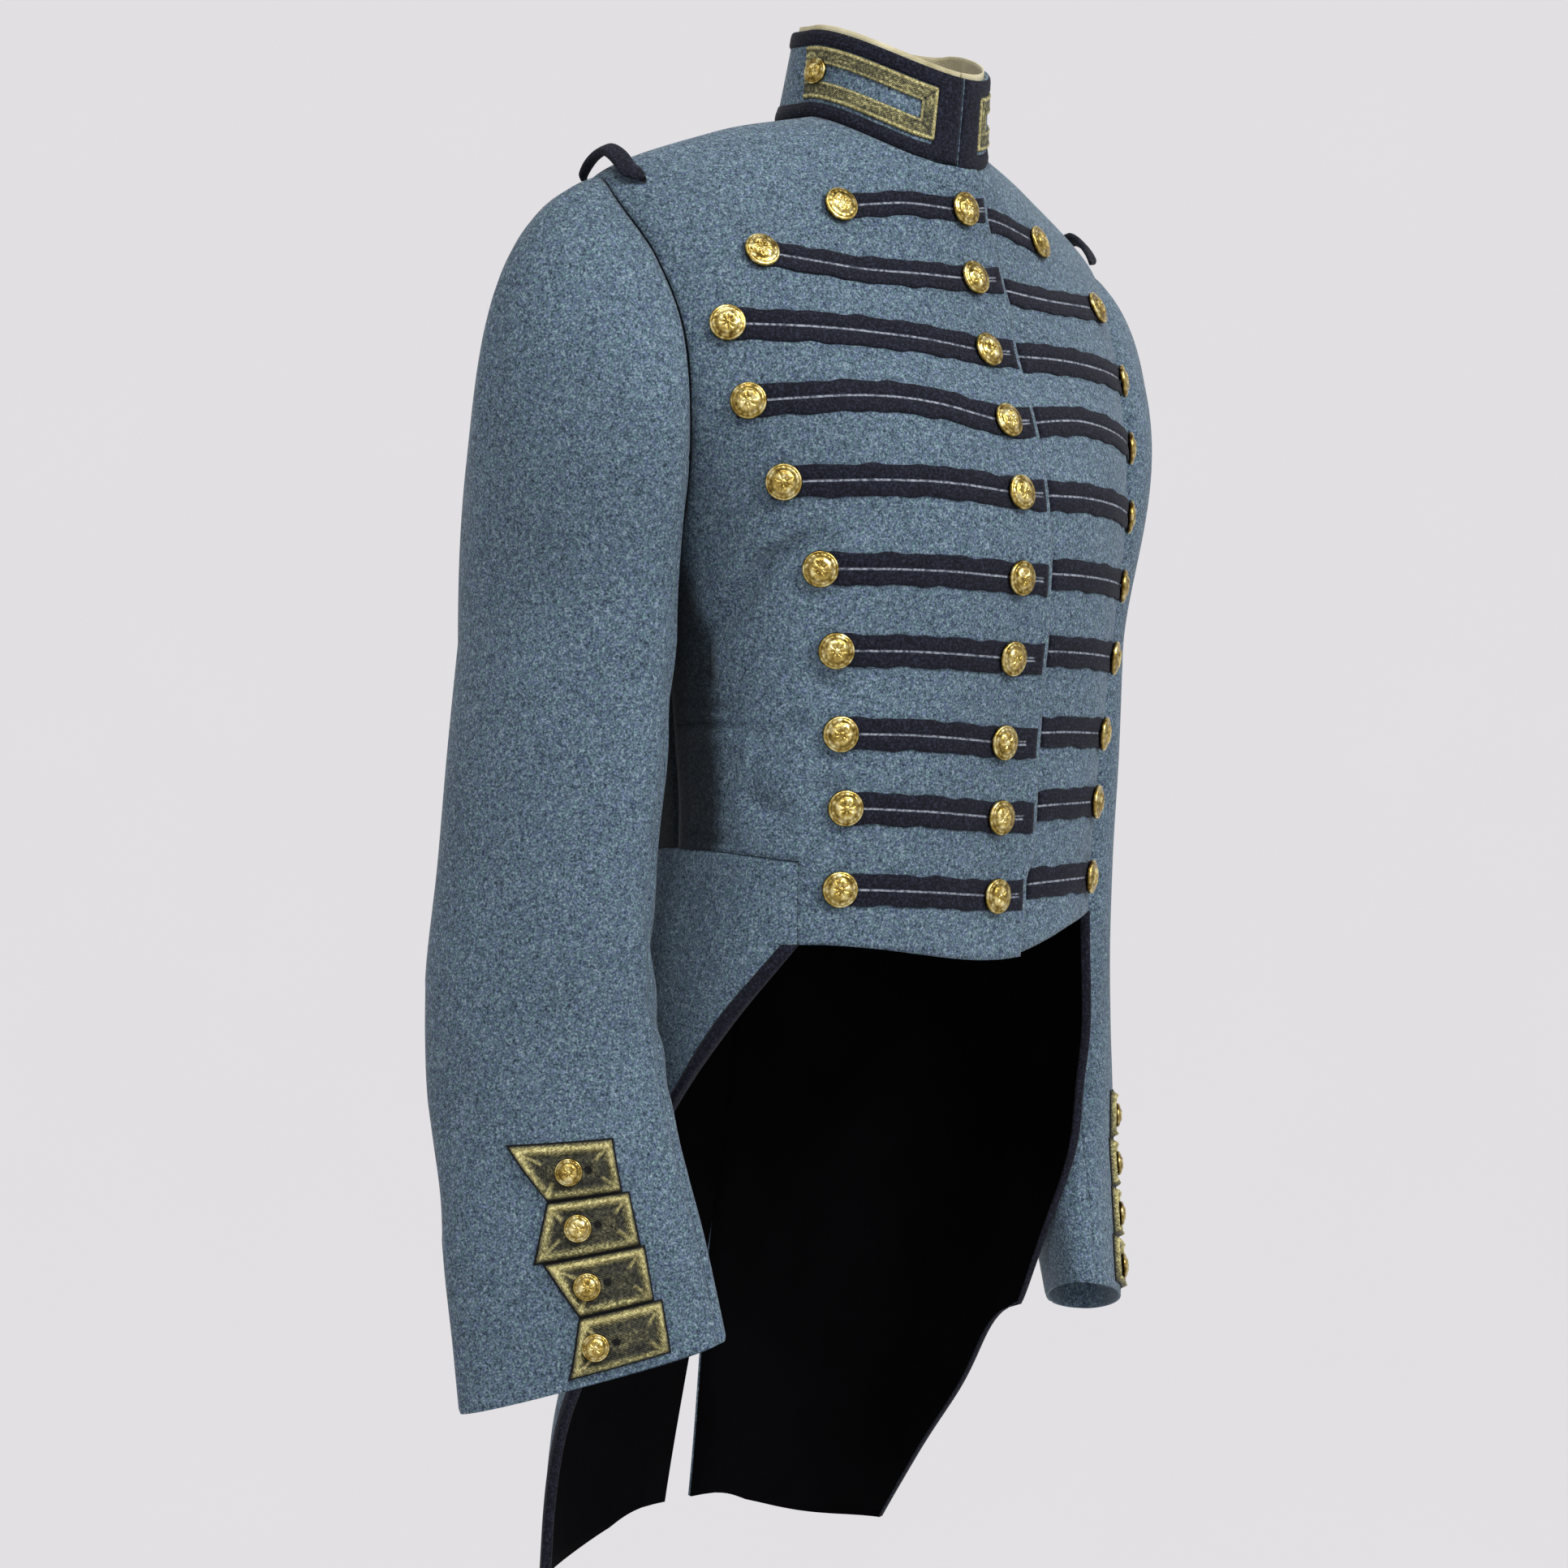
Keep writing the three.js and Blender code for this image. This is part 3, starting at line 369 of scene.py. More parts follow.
def refine(places, step, corner_rows=(), corner_columns=()):
    """Refines a coarse grid of (angle, drop) places. Returns it with its row and column numbers."""
    coarse = body_point(places[..., 0], places[..., 1])
    row_keys, column_keys = steps_between(coarse, 0), steps_between(coarse, 1)
    rows, columns = stations(row_keys, step), stations(column_keys, step)
    fine = curve(row_keys, places, rows, corner_rows)
    fine = curve(column_keys, fine.transpose(1, 0, 2), columns, corner_columns).transpose(1, 0, 2)
    row_numbers = np.interp(rows, row_keys, np.arange(len(row_keys)))
    column_numbers = np.interp(columns, column_keys, np.arange(len(column_keys)))
    return fine, row_numbers, column_numbers


def running(points, axis):
    """Distance along a grid from its first row or column."""
    steps = np.linalg.norm(np.diff(points, axis=axis), axis=-1)
    start = np.zeros_like(np.take(steps, [0], axis=axis))
    return np.concatenate([start, np.cumsum(steps, axis=axis)], axis=axis)


def edge_distance(points, edge):
    axis = 1 if edge in ("first", "last") else 0
    along = running(points, axis)
    if edge in ("last", "bottom"):
        along = np.take(along, [-1], axis=axis) - along
    return along


def sunk_edges(points, normals, edges, depth=0.9, width=2.6):
    """Turns the borders of a panel in, as they are along a seam or a finished edge."""
    depths = np.zeros(points.shape[:2])
    for edge in edges:
        depths = np.maximum(depths, depth * np.exp(-((edge_distance(points, edge) / width) ** 2)))
    return points - normals * depths[..., None]


def pull_in(points, edge, distance):
    """Moves a border towards its neighbour."""
    moved = points.copy()
    if edge in ("first", "last"):
        border, inner = (0, 1) if edge == "first" else (-1, -2)
        moved[:, border] += unit(points[:, inner] - points[:, border]) * distance
    else:
        border, inner = (0, 1) if edge == "top" else (-1, -2)
        moved[border] += unit(points[inner] - points[border]) * distance
    return moved


def fold(points, normals, path, width, depth, ends=0.6):
    """Presses a soft trough along a path of points. A negative depth raises a ridge."""
    path = np.asarray(path, float)
    flat = points.reshape(-1, 3)
    lengths = np.linalg.norm(np.diff(path, axis=0), axis=1)
    total = lengths.sum()
    nearest = np.full(len(flat), 1e9)
    along = np.zeros(len(flat))
    passed = 0.0
    for a, b, length in zip(path[:-1], path[1:], lengths):
        t = np.clip(((flat - a) @ (b - a)) / max(length**2, 1e-9), 0, 1)
        away = np.linalg.norm(flat - (a + t[:, None] * (b - a)), axis=1)
        closer = away < nearest
        nearest = np.where(closer, away, nearest)
        along = np.where(closer, (passed + t * length) / total, along)
        passed += length
    taper = np.sin(math.pi * np.clip(along, 0, 1)) ** ends
    press = depth * FOLD_DEPTH * np.exp(-((nearest / width) ** 2)) * taper
    return points - normals * press.reshape(points.shape[:2])[..., None]


# Meshes


def ring_faces(rows, count):
    """Numbers of a tube's points, row by row, the next number round, and the faces between them."""
    number = np.arange(rows * count).reshape(rows, count)
    after = np.roll(number, -1, axis=1)
    faces = np.stack([number[:-1], after[:-1], after[1:], number[1:]], axis=-1).reshape(-1, 4)
    return number, after, faces


def whole_cells(inside):
    """Which cells of a grid have all four corners inside."""
    return inside[:-1, :-1] & inside[1:, :-1] & inside[:-1, 1:] & inside[1:, 1:]


def add_to_scene(name, mesh, material):
    mesh.polygons.foreach_set("use_smooth", np.ones(len(mesh.polygons), bool))
    mesh.materials.append(material)
    mesh.update()
    made = bpy.data.objects.new(name, mesh)
    bpy.context.scene.collection.objects.link(made)
    return made


def make_object(name, vertices, faces, material, uv=None, values=None):
    """A mesh object from points in millimetres. uv and values are given per vertex."""
    vertices, faces = np.asarray(vertices, float), np.asarray(faces, int)
    a, b, c = (vertices[faces[:, k]] for k in range(3))
    d = vertices[faces[:, -1]]
    volume = np.sum(a * np.cross(b, c)) + np.sum(a * np.cross(c, d))
    if volume < 0:
        faces = faces[:, ::-1]
    used, packed = np.unique(faces, return_inverse=True)
    faces = packed.reshape(faces.shape)
    mesh = bpy.data.meshes.new(name)
    mesh.from_pydata((vertices[used] * MM).tolist(), [], faces.tolist())
    if uv is not None:
        layer = mesh.uv_layers.new(name="UVMap")
        layer.data.foreach_set("uv", (np.asarray(uv, float)[used] * MM)[faces.ravel()].ravel())
    for label, numbers in (values or {}).items():
        attribute = mesh.attributes.new(label, "FLOAT", "POINT")
        attribute.data.foreach_set("value", np.asarray(numbers, float)[used])
    return add_to_scene(name, mesh, material)


def shell(name, outer, inner, material, keep=None, uv=None, values=None):
    """A closed wall between two grids of points. keep says which cells the wall has."""
    rows, columns = outer.shape[:2]
    if keep is None:
        keep = np.ones((rows - 1, columns - 1), bool)
    number = np.arange(rows * columns).reshape(rows, columns)
    back = number + rows * columns

    def corners(n):
        return np.stack([n[:-1, :-1], n[:-1, 1:], n[1:, 1:], n[1:, :-1]], axis=-1)

    faces = [corners(number)[keep], corners(back)[keep][:, ::-1]]
    padded = np.pad(keep, 1)
    around = [padded[:-2, 1:-1], padded[1:-1, 2:], padded[2:, 1:-1], padded[1:-1, :-2]]
    for side, beyond in enumerate(around):
        open_side = keep & ~beyond
        a, b = corners(number)[open_side][:, side], corners(number)[open_side][:, (side + 1) % 4]
        c, d = corners(back)[open_side][:, (side + 1) % 4], corners(back)[open_side][:, side]
        faces.append(np.stack([b, a, d, c], axis=-1))
    vertices = np.concatenate([outer.reshape(-1, 3), inner.reshape(-1, 3)])
    if uv is not None:
        uv = np.concatenate([uv.reshape(-1, 2)] * 2)
    values = {label: np.concatenate([numbers.ravel()] * 2) for label, numbers in (values or {}).items()}
    return make_object(name, vertices, np.concatenate(faces), material, uv, values)


def place(piece, slot, *nodes):
    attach(piece, "root")
    if nodes:
        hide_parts(*nodes)
    return piece


# Materials


class Shader:
    """A material's node tree, with short calls for its nodes."""

    def __init__(self, name):
        self.material = bpy.data.materials.new(name)
        self.material.use_nodes = True
        self.tree = self.material.node_tree
        self.main = self.tree.nodes["Principled BSDF"]

    def node(self, kind, settings=None, **inputs):
        made = self.tree.nodes.new(kind)
        for key, value in (settings or {}).items():
            setattr(made, key, value)
        for key, value in inputs.items():
            self.put(made.inputs[key.replace("_", " ")], value)
        return made

    def put(self, socket, value):
        if isinstance(value, bpy.types.NodeSocket):
            self.tree.links.new(value, socket)
        else:
            socket.default_value = value

    def noise(self, vector, scale, detail=2.0, roughness=0.5):
        made = self.node("ShaderNodeTexNoise", Scale=scale, Detail=detail, Roughness=roughness)
        self.put(made.inputs["Vector"], vector)
        return made.outputs["Fac"]

    def math(self, operation, a, b=0.0):
        made = self.node("ShaderNodeMath", {"operation": operation})
        self.put(made.inputs[0], a)
        self.put(made.inputs[1], b)
        return made.outputs[0]

    def ramp(self, value, stops):
        made = self.node("ShaderNodeValToRGB", Fac=value)
        points = made.color_ramp.elements
        while len(points) < len(stops):
            points.new(0.5)
        for point, (position, colour) in zip(points, stops):
            point.position = position
            point.color = colour if len(colour) == 4 else (*colour, 1)
        return made.outputs["Color"]

    def range(self, value, low, high, to_low=0.0, to_high=1.0):
        made = self.node("ShaderNodeMapRange")
        names = ("Value", "From Min", "From Max", "To Min", "To Max")
        for key, number in zip(names, (value, low, high, to_low, to_high)):
            self.put(made.inputs[key], number)
        return made.outputs["Result"]

    def mix(self, factor, a, b, blend="MIX"):
        made = self.node("ShaderNodeMix", {"data_type": "RGBA", "blend_type": blend})
        self.put(made.inputs[0], factor)
        self.put(made.inputs[6], a)
        self.put(made.inputs[7], b)
        return made.outputs[2]

    def bump(self, height, distance, strength=1.0):
        made = self.node("ShaderNodeBump", Strength=strength, Distance=distance, Height=height)
        self.put(self.main.inputs["Normal"], made.outputs["Normal"])

    def finish(self, colour, roughness, **sockets):
        self.put(self.main.inputs["Base Color"], colour)
        self.put(self.main.inputs["Roughness"], roughness)
        for key, value in sockets.items():
            self.put(self.main.inputs[key.replace("_", " ")], value)
        return self.material


def srgb(red, green, blue):
    """A linear colour from 8-bit display values."""

    def linear(value):
        return value / 12.92 if value <= 0.04045 else ((value + 0.055) / 1.055) ** 2.4

    return tuple(linear(value / 255) for value in (red, green, blue)) + (1.0,)


def wool_material():
    """Milled blue-grey wool: dark, mid and pale fibres mixed at about a millimetre, slightly uneven in hue."""
    shader = Shader("heathered_wool")
    place_at = shader.node("ShaderNodeTexCoord").outputs["Object"]
    grain = shader.noise(place_at, 900, 2.0, 0.6)
    coarse = shader.noise(place_at, 380, 2.0, 0.5)
    cloud = shader.noise(place_at, 9, 2.0, 0.5)
    fibre = shader.math("ADD", shader.math("MULTIPLY", grain, 0.7), shader.math("MULTIPLY", coarse, 0.3))
    colour = shader.ramp(
        fibre,
        [
            (0.35, srgb(40, 50, 60)),
            (0.45, srgb(76, 92, 106)),
            (0.54, srgb(100, 119, 133)),
            (0.66, srgb(150, 167, 176)),
        ],
    )
    hue = shader.noise(place_at, 420, 1.0, 0.5)
    tint = shader.ramp(
        hue, [(0.34, srgb(168, 168, 215)), (0.5, srgb(190, 190, 190)), (0.66, srgb(160, 205, 186))]
    )
    colour = shader.mix(0.5, colour, shader.mix(1.0, colour, tint, "MULTIPLY"))
    # An attribute from under_arm darkens the wool behind the sleeve to 12 %: painted shade.
    painted_arm_shade = shader.node("ShaderNodeAttribute", {"attribute_name": "painted_arm_shade"}).outputs["Fac"]
    cloudy = shader.range(cloud, 0.3, 0.7, 0.92, 1.12)
    shade = shader.math("MULTIPLY", cloudy, shader.range(painted_arm_shade, 0, 1, 1, 0.12))
    value = shader.node("ShaderNodeHueSaturation", Color=colour, Value=shade)
    roughness = shader.range(grain, 0.3, 0.7, 0.88, 0.98)
    shader.bump(fibre, 0.0006, 0.5)
    return shader.finish(
        value.outputs["Color"], roughness, Sheen_Weight=0.1, Sheen_Roughness=0.5, Specular_IOR_Level=0.12
    )


def lining_material():
    """Black twill, a little smoother than the wool, seen inside the tails."""
    shader = Shader("black_twill")
    place_at = shader.node("ShaderNodeTexCoord").outputs["Object"]
    turned = shader.node("ShaderNodeMapping", Vector=place_at, Rotation=(0, math.radians(32), math.radians(20)))
    twill = shader.node(
        "ShaderNodeTexWave", {"wave_type": "BANDS", "bands_direction": "X"}, Scale=420, Distortion=1.2, Detail=1.0
    )
    shader.put(twill.inputs["Vector"], turned.outputs["Vector"])
    patch = shader.noise(place_at, 14, 3.0, 0.6)
    colour = shader.ramp(patch, [(0.3, srgb(2, 2, 3)), (0.7, srgb(6, 6, 8))])
    shader.bump(twill.outputs["Fac"], 0.00025, 0.35)
    return shader.finish(colour, shader.range(patch, 0.3, 0.7, 0.8, 0.9), Specular_IOR_Level=0.03)


def braid_material(name, has_line):
    """Navy-black ribbed tape. UV is across the tape in V and along it in U, in metres."""
    shader = Shader(name)
    uv = shader.node("ShaderNodeUVMap", {"uv_map": "UVMap"}).outputs["UV"]
    parts = shader.node("ShaderNodeSeparateXYZ", Vector=uv)
    along, across = parts.outputs["X"], parts.outputs["Y"]
    place_at = shader.node("ShaderNodeTexCoord").outputs["Object"]
    off_middle = shader.math("ABSOLUTE", across)
    slanted = shader.math("ADD", along, off_middle)
    rib = shader.math("SINE", shader.math("MULTIPLY", slanted, 2 * math.pi / 0.0011))
    cord = shader.math("SINE", shader.math("MULTIPLY", across, 2 * math.pi / 0.0019))
    speck = shader.noise(place_at, 700, 2.0, 0.6)
    weave = shader.math("ADD", shader.math("MULTIPLY", rib, 0.3), shader.math("MULTIPLY", cord, 0.25))
    height = shader.math("ADD", weave, speck)
    colour = shader.ramp(
        speck, [(0.32, srgb(8, 9, 15)), (0.52, srgb(20, 22, 33)), (0.74, srgb(44, 47, 62))]
    )
    if has_line:
        edge = shader.range(off_middle, 0.00035, 0.00075, 1.0, 0.0)
        reach = shader.range(along, 0.003, 0.0045, 0.0, 1.0)
        flecks = shader.noise(place_at, 500, 1.0)
        fleck = shader.ramp(flecks, [(0.35, srgb(70, 76, 88)), (0.65, srgb(150, 156, 166))])
        colour = shader.mix(shader.math("MULTIPLY", edge, reach), colour, fleck)
        # Pale stitches past the centre line, as flat marks on both sides of the bar's middle
        stitch_from = shader.range(along, -0.0205, -0.0195, 0.0, 1.0)
        stitch_to = shader.range(along, -0.0125, -0.0115, 1.0, 0.0)
        off_lip = shader.math("ABSOLUTE", shader.math("SUBTRACT", off_middle, 0.0009))
        lips = shader.range(off_lip, 0.0003, 0.0007, 1.0, 0.0)
        stitch = shader.math("MULTIPLY", shader.math("MULTIPLY", stitch_from, stitch_to), lips)
        colour = shader.mix(shader.math("MULTIPLY", stitch, 0.8), colour, fleck)
    shader.bump(height, 0.00035, 0.6)
    return shader.finish(colour, 0.85, Sheen_Weight=0.04, Sheen_Roughness=0.5, Specular_IOR_Level=0.12)


def lace_material():
    """Tarnished gold lace: metal threads run along each tape, greened and darkened where they are worn.

    The attributes cavity and shine paint part of its shade and light, whatever the lamps do.
    """
    shader = Shader("tarnished_lace")
    uv = shader.node("ShaderNodeUVMap", {"uv_map": "UVMap"}).outputs["UV"]
    parts = shader.node("ShaderNodeSeparateXYZ", Vector=uv)
    along, across = parts.outputs["X"], parts.outputs["Y"]
    place_at = shader.node("ShaderNodeTexCoord").outputs["Object"]
    thread = shader.math("SINE", shader.math("MULTIPLY", across, 2 * math.pi / 0.0013))
    over = shader.math("SINE", shader.math("MULTIPLY", along, 2 * math.pi / 0.0022))
    weave = shader.math("MULTIPLY", thread, over)
    speck = shader.noise(place_at, 620, 3.0, 0.65)
    patch = shader.noise(place_at, 90, 3.0, 0.6)
    tone = shader.math("ADD", shader.math("MULTIPLY", speck, 0.6), shader.math("MULTIPLY", patch, 0.3))
    tone = shader.math("ADD", tone, shader.range(weave, -1.0, 1.0, 0.0, 0.1))
    colour = shader.ramp(
        tone,
        [
            (0.36, srgb(26, 27, 24)),
            (0.46, srgb(84, 82, 56)),
            (0.54, srgb(132, 127, 84)),
            (0.64, srgb(222, 214, 152)),
        ],
    )
    # cavity mixes in a painted shade, near-black where it is highest, and shine a painted highlight of pale gold.
    cavity = shader.node("ShaderNodeAttribute", {"attribute_name": "cavity"}).outputs["Fac"]
    hollow = shader.ramp(speck, [(0.35, srgb(13, 14, 18)), (0.62, srgb(52, 54, 50))])
    colour = shader.mix(cavity, colour, hollow)
    colour = shader.mix(shader.range(cavity, 0.9, 0.99), colour, srgb(5, 5, 7))
    shine = shader.node("ShaderNodeAttribute", {"attribute_name": "shine"}).outputs["Fac"]
    gold = shader.ramp(speck, [(0.35, srgb(146, 134, 76)), (0.62, srgb(238, 228, 164))])
    colour = shader.mix(shine, colour, gold)
    shader.bump(shader.math("ADD", shader.math("MULTIPLY", weave, 0.4), speck), 0.0006, 0.9)
    return shader.finish(colour, shader.range(patch, 0.3, 0.7, 0.55, 0.75), Metallic=0.2, Specular_IOR_Level=0.3)


def brass_material():
    """Gilt brass, bright on what stands proud and brown in the hollows, from the cavity attribute: tarnish in the
    hollows, painted shade towards the rim and under the button.
    """
    shader = Shader("gilt_brass")
    place_at = shader.node("ShaderNodeTexCoord").outputs["Object"]
    wear = shader.noise(place_at, 260, 3.0, 0.6)
    cavity = shader.node("ShaderNodeAttribute", {"attribute_name": "cavity"}).outputs["Fac"]
    bright = shader.ramp(
        wear, [(0.34, srgb(128, 104, 48)), (0.5, srgb(192, 166, 88)), (0.64, srgb(246, 232, 170))]
    )
    dull = shader.ramp(wear, [(0.35, srgb(34, 25, 12)), (0.65, srgb(96, 74, 34))])
    colour = shader.mix(cavity, bright, dull)
    shader.bump(wear, 0.0002, 0.35)
    return shader.finish(colour, shader.range(wear, 0.3, 0.7, 0.22, 0.4), Metallic=1.0)


def cream_material():
    """Unbleached linen of the collar's inside, coloured darker than the linen itself: painted shade."""
    shader = Shader("cream_linen")
    place_at = shader.node("ShaderNodeTexCoord").outputs["Object"]
    warp = shader.node("ShaderNodeTexWave", {"bands_direction": "Z"}, Scale=330, Distortion=0.6)
    weft = shader.node("ShaderNodeTexWave", {"bands_direction": "DIAGONAL"}, Scale=330, Distortion=0.6)
    for wave in (warp, weft):
        shader.put(wave.inputs["Vector"], place_at)
    weave = shader.math("ADD", warp.outputs["Fac"], weft.outputs["Fac"])
    mottle = shader.noise(place_at, 40, 3.0, 0.6)
    # Both colours are darker than the linen's own cream: painted shade for the inside of the collar.
    colour = shader.ramp(mottle, [(0.3, srgb(150, 141, 106)), (0.7, srgb(198, 190, 158))])
    shader.bump(weave, 0.0003, 0.4)
    return shader.finish(colour, 0.88, Sheen_Weight=0.1, Sheen_Roughness=0.5)


WOOL = wool_material()
LINING = lining_material()
BRAID = braid_material("ribbed_braid", True)
TAPE = braid_material("ribbed_tape", False)
LACE = lace_material()
BRASS = brass_material()
CREAM = cream_material()


# Fronts


def bar_height(bar, out, rise):
    keys = np.array([-BARS["edge"][bar], 0, BARS["out"][bar] * 0.5, BARS["out"][bar]])
    heights = np.array([BARS[name][bar] for name in ("edge_z", "centre_z", "mid_z", "outer_z")])
    return curve(keys, heights, out) + rise * smooth(-230, -300, BARS["centre_z"][bar])


BUTTON_COLUMN = 6
HEM_SEAM_COLUMN = 7
SHOULDER_ROW = 4
UNDERARM_ROW = 13
WAIST_ROW = 2 + 2 * (BAR_COUNT - 1)


def front_places(side):
    """A front's coarse places. Its columns are front edge, bar end, centre line, three between, outer
    button, two more and seam."""
    right = side["name"] == "right"

    def columns_out(bar):
        edge = BARS["edge"][bar] if right else UNDERLAP
        end = BARS["out"][bar] + 3
        return np.array([-edge, -edge + 4, 0, end * 0.25, end * 0.5, end * 0.75, end])

    def to_seam(outs, heights, outer_angle, outer_drop):
        angle, drop = locate(outs, heights)
        for t in (1 / 3, 2 / 3, 1):
            angle = np.append(angle, mix(angle[BUTTON_COLUMN], outer_angle, t))
            drop = np.append(drop, mix(drop[BUTTON_COLUMN], outer_drop, t))
        return np.stack([angle, drop], axis=-1)

    def low_row(outs, height_at):
        outs = np.append(outs, HEM_SEAM_OUT)
        angle, drop = locate(outs, height_at(outs))
        return np.stack([np.append(angle, [angle[-1]] * 2), np.append(drop, [drop[-1]] * 2)], axis=-1)

    reach = NECK_EDGE if right else -1
    neck = angle_at_out(np.array([-reach, -reach + 3, 0.0 if right else 5.0]), np.zeros(3))
    neck = np.append(neck, [14, 26, 38, 51, 64, 77, 90])
    rows = [np.stack([neck, np.zeros(10)], axis=-1)]
    for bar in range(BAR_COUNT):
        for edge, drops in ((0.5, "upper_drop"), (-0.5, "lower_drop")):

            def height_at(out):
                return bar_height(bar, out, side["rise"]) + edge * BARS["width"][bar]

            outs = columns_out(bar)
            if bar < BAR_COUNT - 1:
                drop = BARS[drops][bar]
                rows.append(to_seam(outs, height_at(outs), seam_angle(drop, False), drop))
            else:
                rows.append(low_row(outs, height_at))
        if bar == 0:
            rows.insert(1, (rows[0] + rows[1]) / 2)
        if bar == BAR_COUNT - 2:
            waist_z = WAIST_Z + side["rise"] * 0.7
            angle, drop = locate(np.append(columns_out(bar), HEM_SEAM_OUT), np.append([waist_z] * 7, waist_z - 3))
            end = np.array([seam_angle(WAIST_DROP, False), WAIST_DROP])
            row = np.stack([angle, drop], axis=-1)
            rows.append(np.concatenate([row, [(row[-1] + end) / 2, end]]))

    def hem_at(out):
        return mix(HEM_CENTRE_Z, side["hem_corner_z"], smooth(0, HEM_SEAM_OUT, np.abs(out)))

    outs = columns_out(BAR_COUNT - 1)
    if right:
        outs[:2] = [-24, -20]
    rows.append(low_row(outs, hem_at))
    return np.array(rows)


def front_lift(side, angle, drop):
    """How far the right front stands off, where it laps over the left one."""
    if side["name"] == "left":
        return np.zeros(np.shape(angle))
    out = body_point(angle, drop)[..., 0]
    near_neck = smooth(0, 26, drop)
    full = mix(2, OVERLAP_FULL, near_neck)
    end = mix(16, OVERLAP_END, near_neck)
    return OVERLAP_LIFT * (1 - smooth(full, end, out))


def mirrored(vectors, side):
    return vectors * np.array([side["sign"], 1, 1])


def body_creases(side):
    """Soft creases of the body: path as (angle, drop) pairs, width and depth."""
    if side["name"] == "right":
        return [
            ([(88, 322), (82, 312), (75, 301), (64, 282), (52, 270), (42, 264)], 7, 4.8),
            ([(86, 306), (76, 290), (64, 270), (50, 258)], 9, -2.8),
            ([(86, 312), (87, 330), (86, 348)], 5, 3.2),
            ([(90, 352), (84, 356), (78, 361)], 3.6, 1.8),
            ([(92, 364), (84, 366), (71, 371)], 2.4, 1.8),
            ([(92, 370), (84, 372), (71, 377)], 2.8, -1.1),
            ([(71, 369), (73, 384), (75, 400)], 2.4, 1.6),
            ([(92, 424), (86, 428), (77, 432)], 3.6, 1.8),
            ([(74, 382), (64, 370), (52, 360)], 6, 2.8),
            ([(78, 402), (68, 412), (58, 418)], 6.5, 2.8),
            ([(56, 398), (46, 402), (38, 403)], 7, 2.0),
            ([(54, 342), (46, 348), (38, 349)], 8, 1.9),
            ([(20, 262), (32, 258), (44, 250)], 12, 1.4),
        ]
    return [
        ([(88, 326), (78, 304), (64, 282), (48, 268)], 7, 4.2),
        ([(84, 296), (68, 272), (50, 256)], 9, -2.4),
        ([(90, 352), (80, 360)], 4, 1.5),
        ([(90, 366), (72, 372)], 2.4, 1.6),
        ([(72, 370), (75, 398)], 2.4, 1.4),
        ([(78, 398), (64, 410), (50, 416)], 6.5, 1.3),
        ([(90, 426), (78, 431)], 3.6, 1.5),
        ([(22, 260), (34, 256), (46, 246)], 12, 0.8),
    ]


def on_front(side, angle, drop):
    """Points and normals of a front's outer surface, with its lift and creases."""
    normals = mirrored(body_normal(angle, drop), side)
    lift = front_lift(side, angle, drop)
    points = mirrored(body_point(angle, drop), side) + normals * lift[..., None]
    for path, width, depth in body_creases(side):
        at, below = np.array(path, float).T
        points = fold(points, normals, mirrored(body_point(at, below), side), width, depth)
    return points, normals


def exact_seam(fine, rows, columns, last, back):
    """Moves the places next to the seam so that the last column lies on it between the coarse rows too."""
    target = seam_angle(fine[:, last, 1], back)
    above = rows <= WAIST_ROW
    change = np.where(above, target - fine[:, last, 0], 0)
    weight = np.clip(np.abs(columns - columns[last]) * -1 + 1, 0, 1)
    fine[..., 0] += change[:, None] * weight[None, :]


def under_arm(angle, drop):
    """How deep a place lies in the gap behind the sleeve, from 0 to 1.

    The wool's material is darkened by it. That is painted shade, and it stays the same in other light.
    """
    along = smooth(215, 300, drop) * (1 - smooth(430, 520, drop))
    return along * smooth(82, 88, angle) * (1 - smooth(108, 122, angle))


for side in SIDES:
    coarse = front_places(side)
    side["front"] = coarse
    corner_rows = [SHOULDER_ROW, UNDERARM_ROW, WAIST_ROW]
    fine, rows, columns = refine(coarse, BODY_STEP, corner_rows, [HEM_SEAM_COLUMN])
    exact_seam(fine, rows, columns, len(columns) - 1, False)
    points, normals = on_front(side, fine[..., 0], fine[..., 1])
    seam_column = int(np.argmin(np.abs(columns - HEM_SEAM_COLUMN)))
    waist = int(np.argmin(np.abs(rows - WAIST_ROW)))
    keep = np.ones((len(rows) - 1, len(columns) - 1), bool)
    keep[waist:, seam_column:] = False
    edge_away = edge_distance(points, "last")
    edge_away[waist + 1:] = 1e3
    upright = edge_distance(points[:, : seam_column + 1], "last")
    upright[:waist] = 1e3
    sink = 0.9 * np.exp(-((edge_away / 2.6) ** 2))
    upright_sink = 0.9 * np.exp(-((upright / 2.6) ** 2))
    sink[:, : seam_column + 1] = np.maximum(sink[:, : seam_column + 1], upright_sink)
    edge = 0.5 * np.exp(-((edge_distance(points, "first") / 1.6) ** 2))
    hem = 0.5 * np.exp(-((edge_distance(points, "bottom") / 1.6) ** 2))
    outer = points - normals * np.maximum(np.maximum(sink, edge), hem)[..., None]
    inner = points - normals * CLOTH
    for grid in (outer, inner):
        grid[: waist + 1] = pull_in(grid[: waist + 1], "last", SEAM / 2)
        grid[waist + 1:, : seam_column + 1] = pull_in(grid[waist + 1:, : seam_column + 1], "last", SEAM / 2)
    # Painted shade for the wool behind the sleeve
    painted_arm_shade = under_arm(fine[..., 0], fine[..., 1])
    made = shell(f"front_{side['name']}_cloth", outer, inner, WOOL, keep, values={"painted_arm_shade": painted_arm_shade})
    place(made, "wool", f"front_{side['name']}")
    side["seam_drops"] = fine[: waist + 1, -1, 1]

# Backs

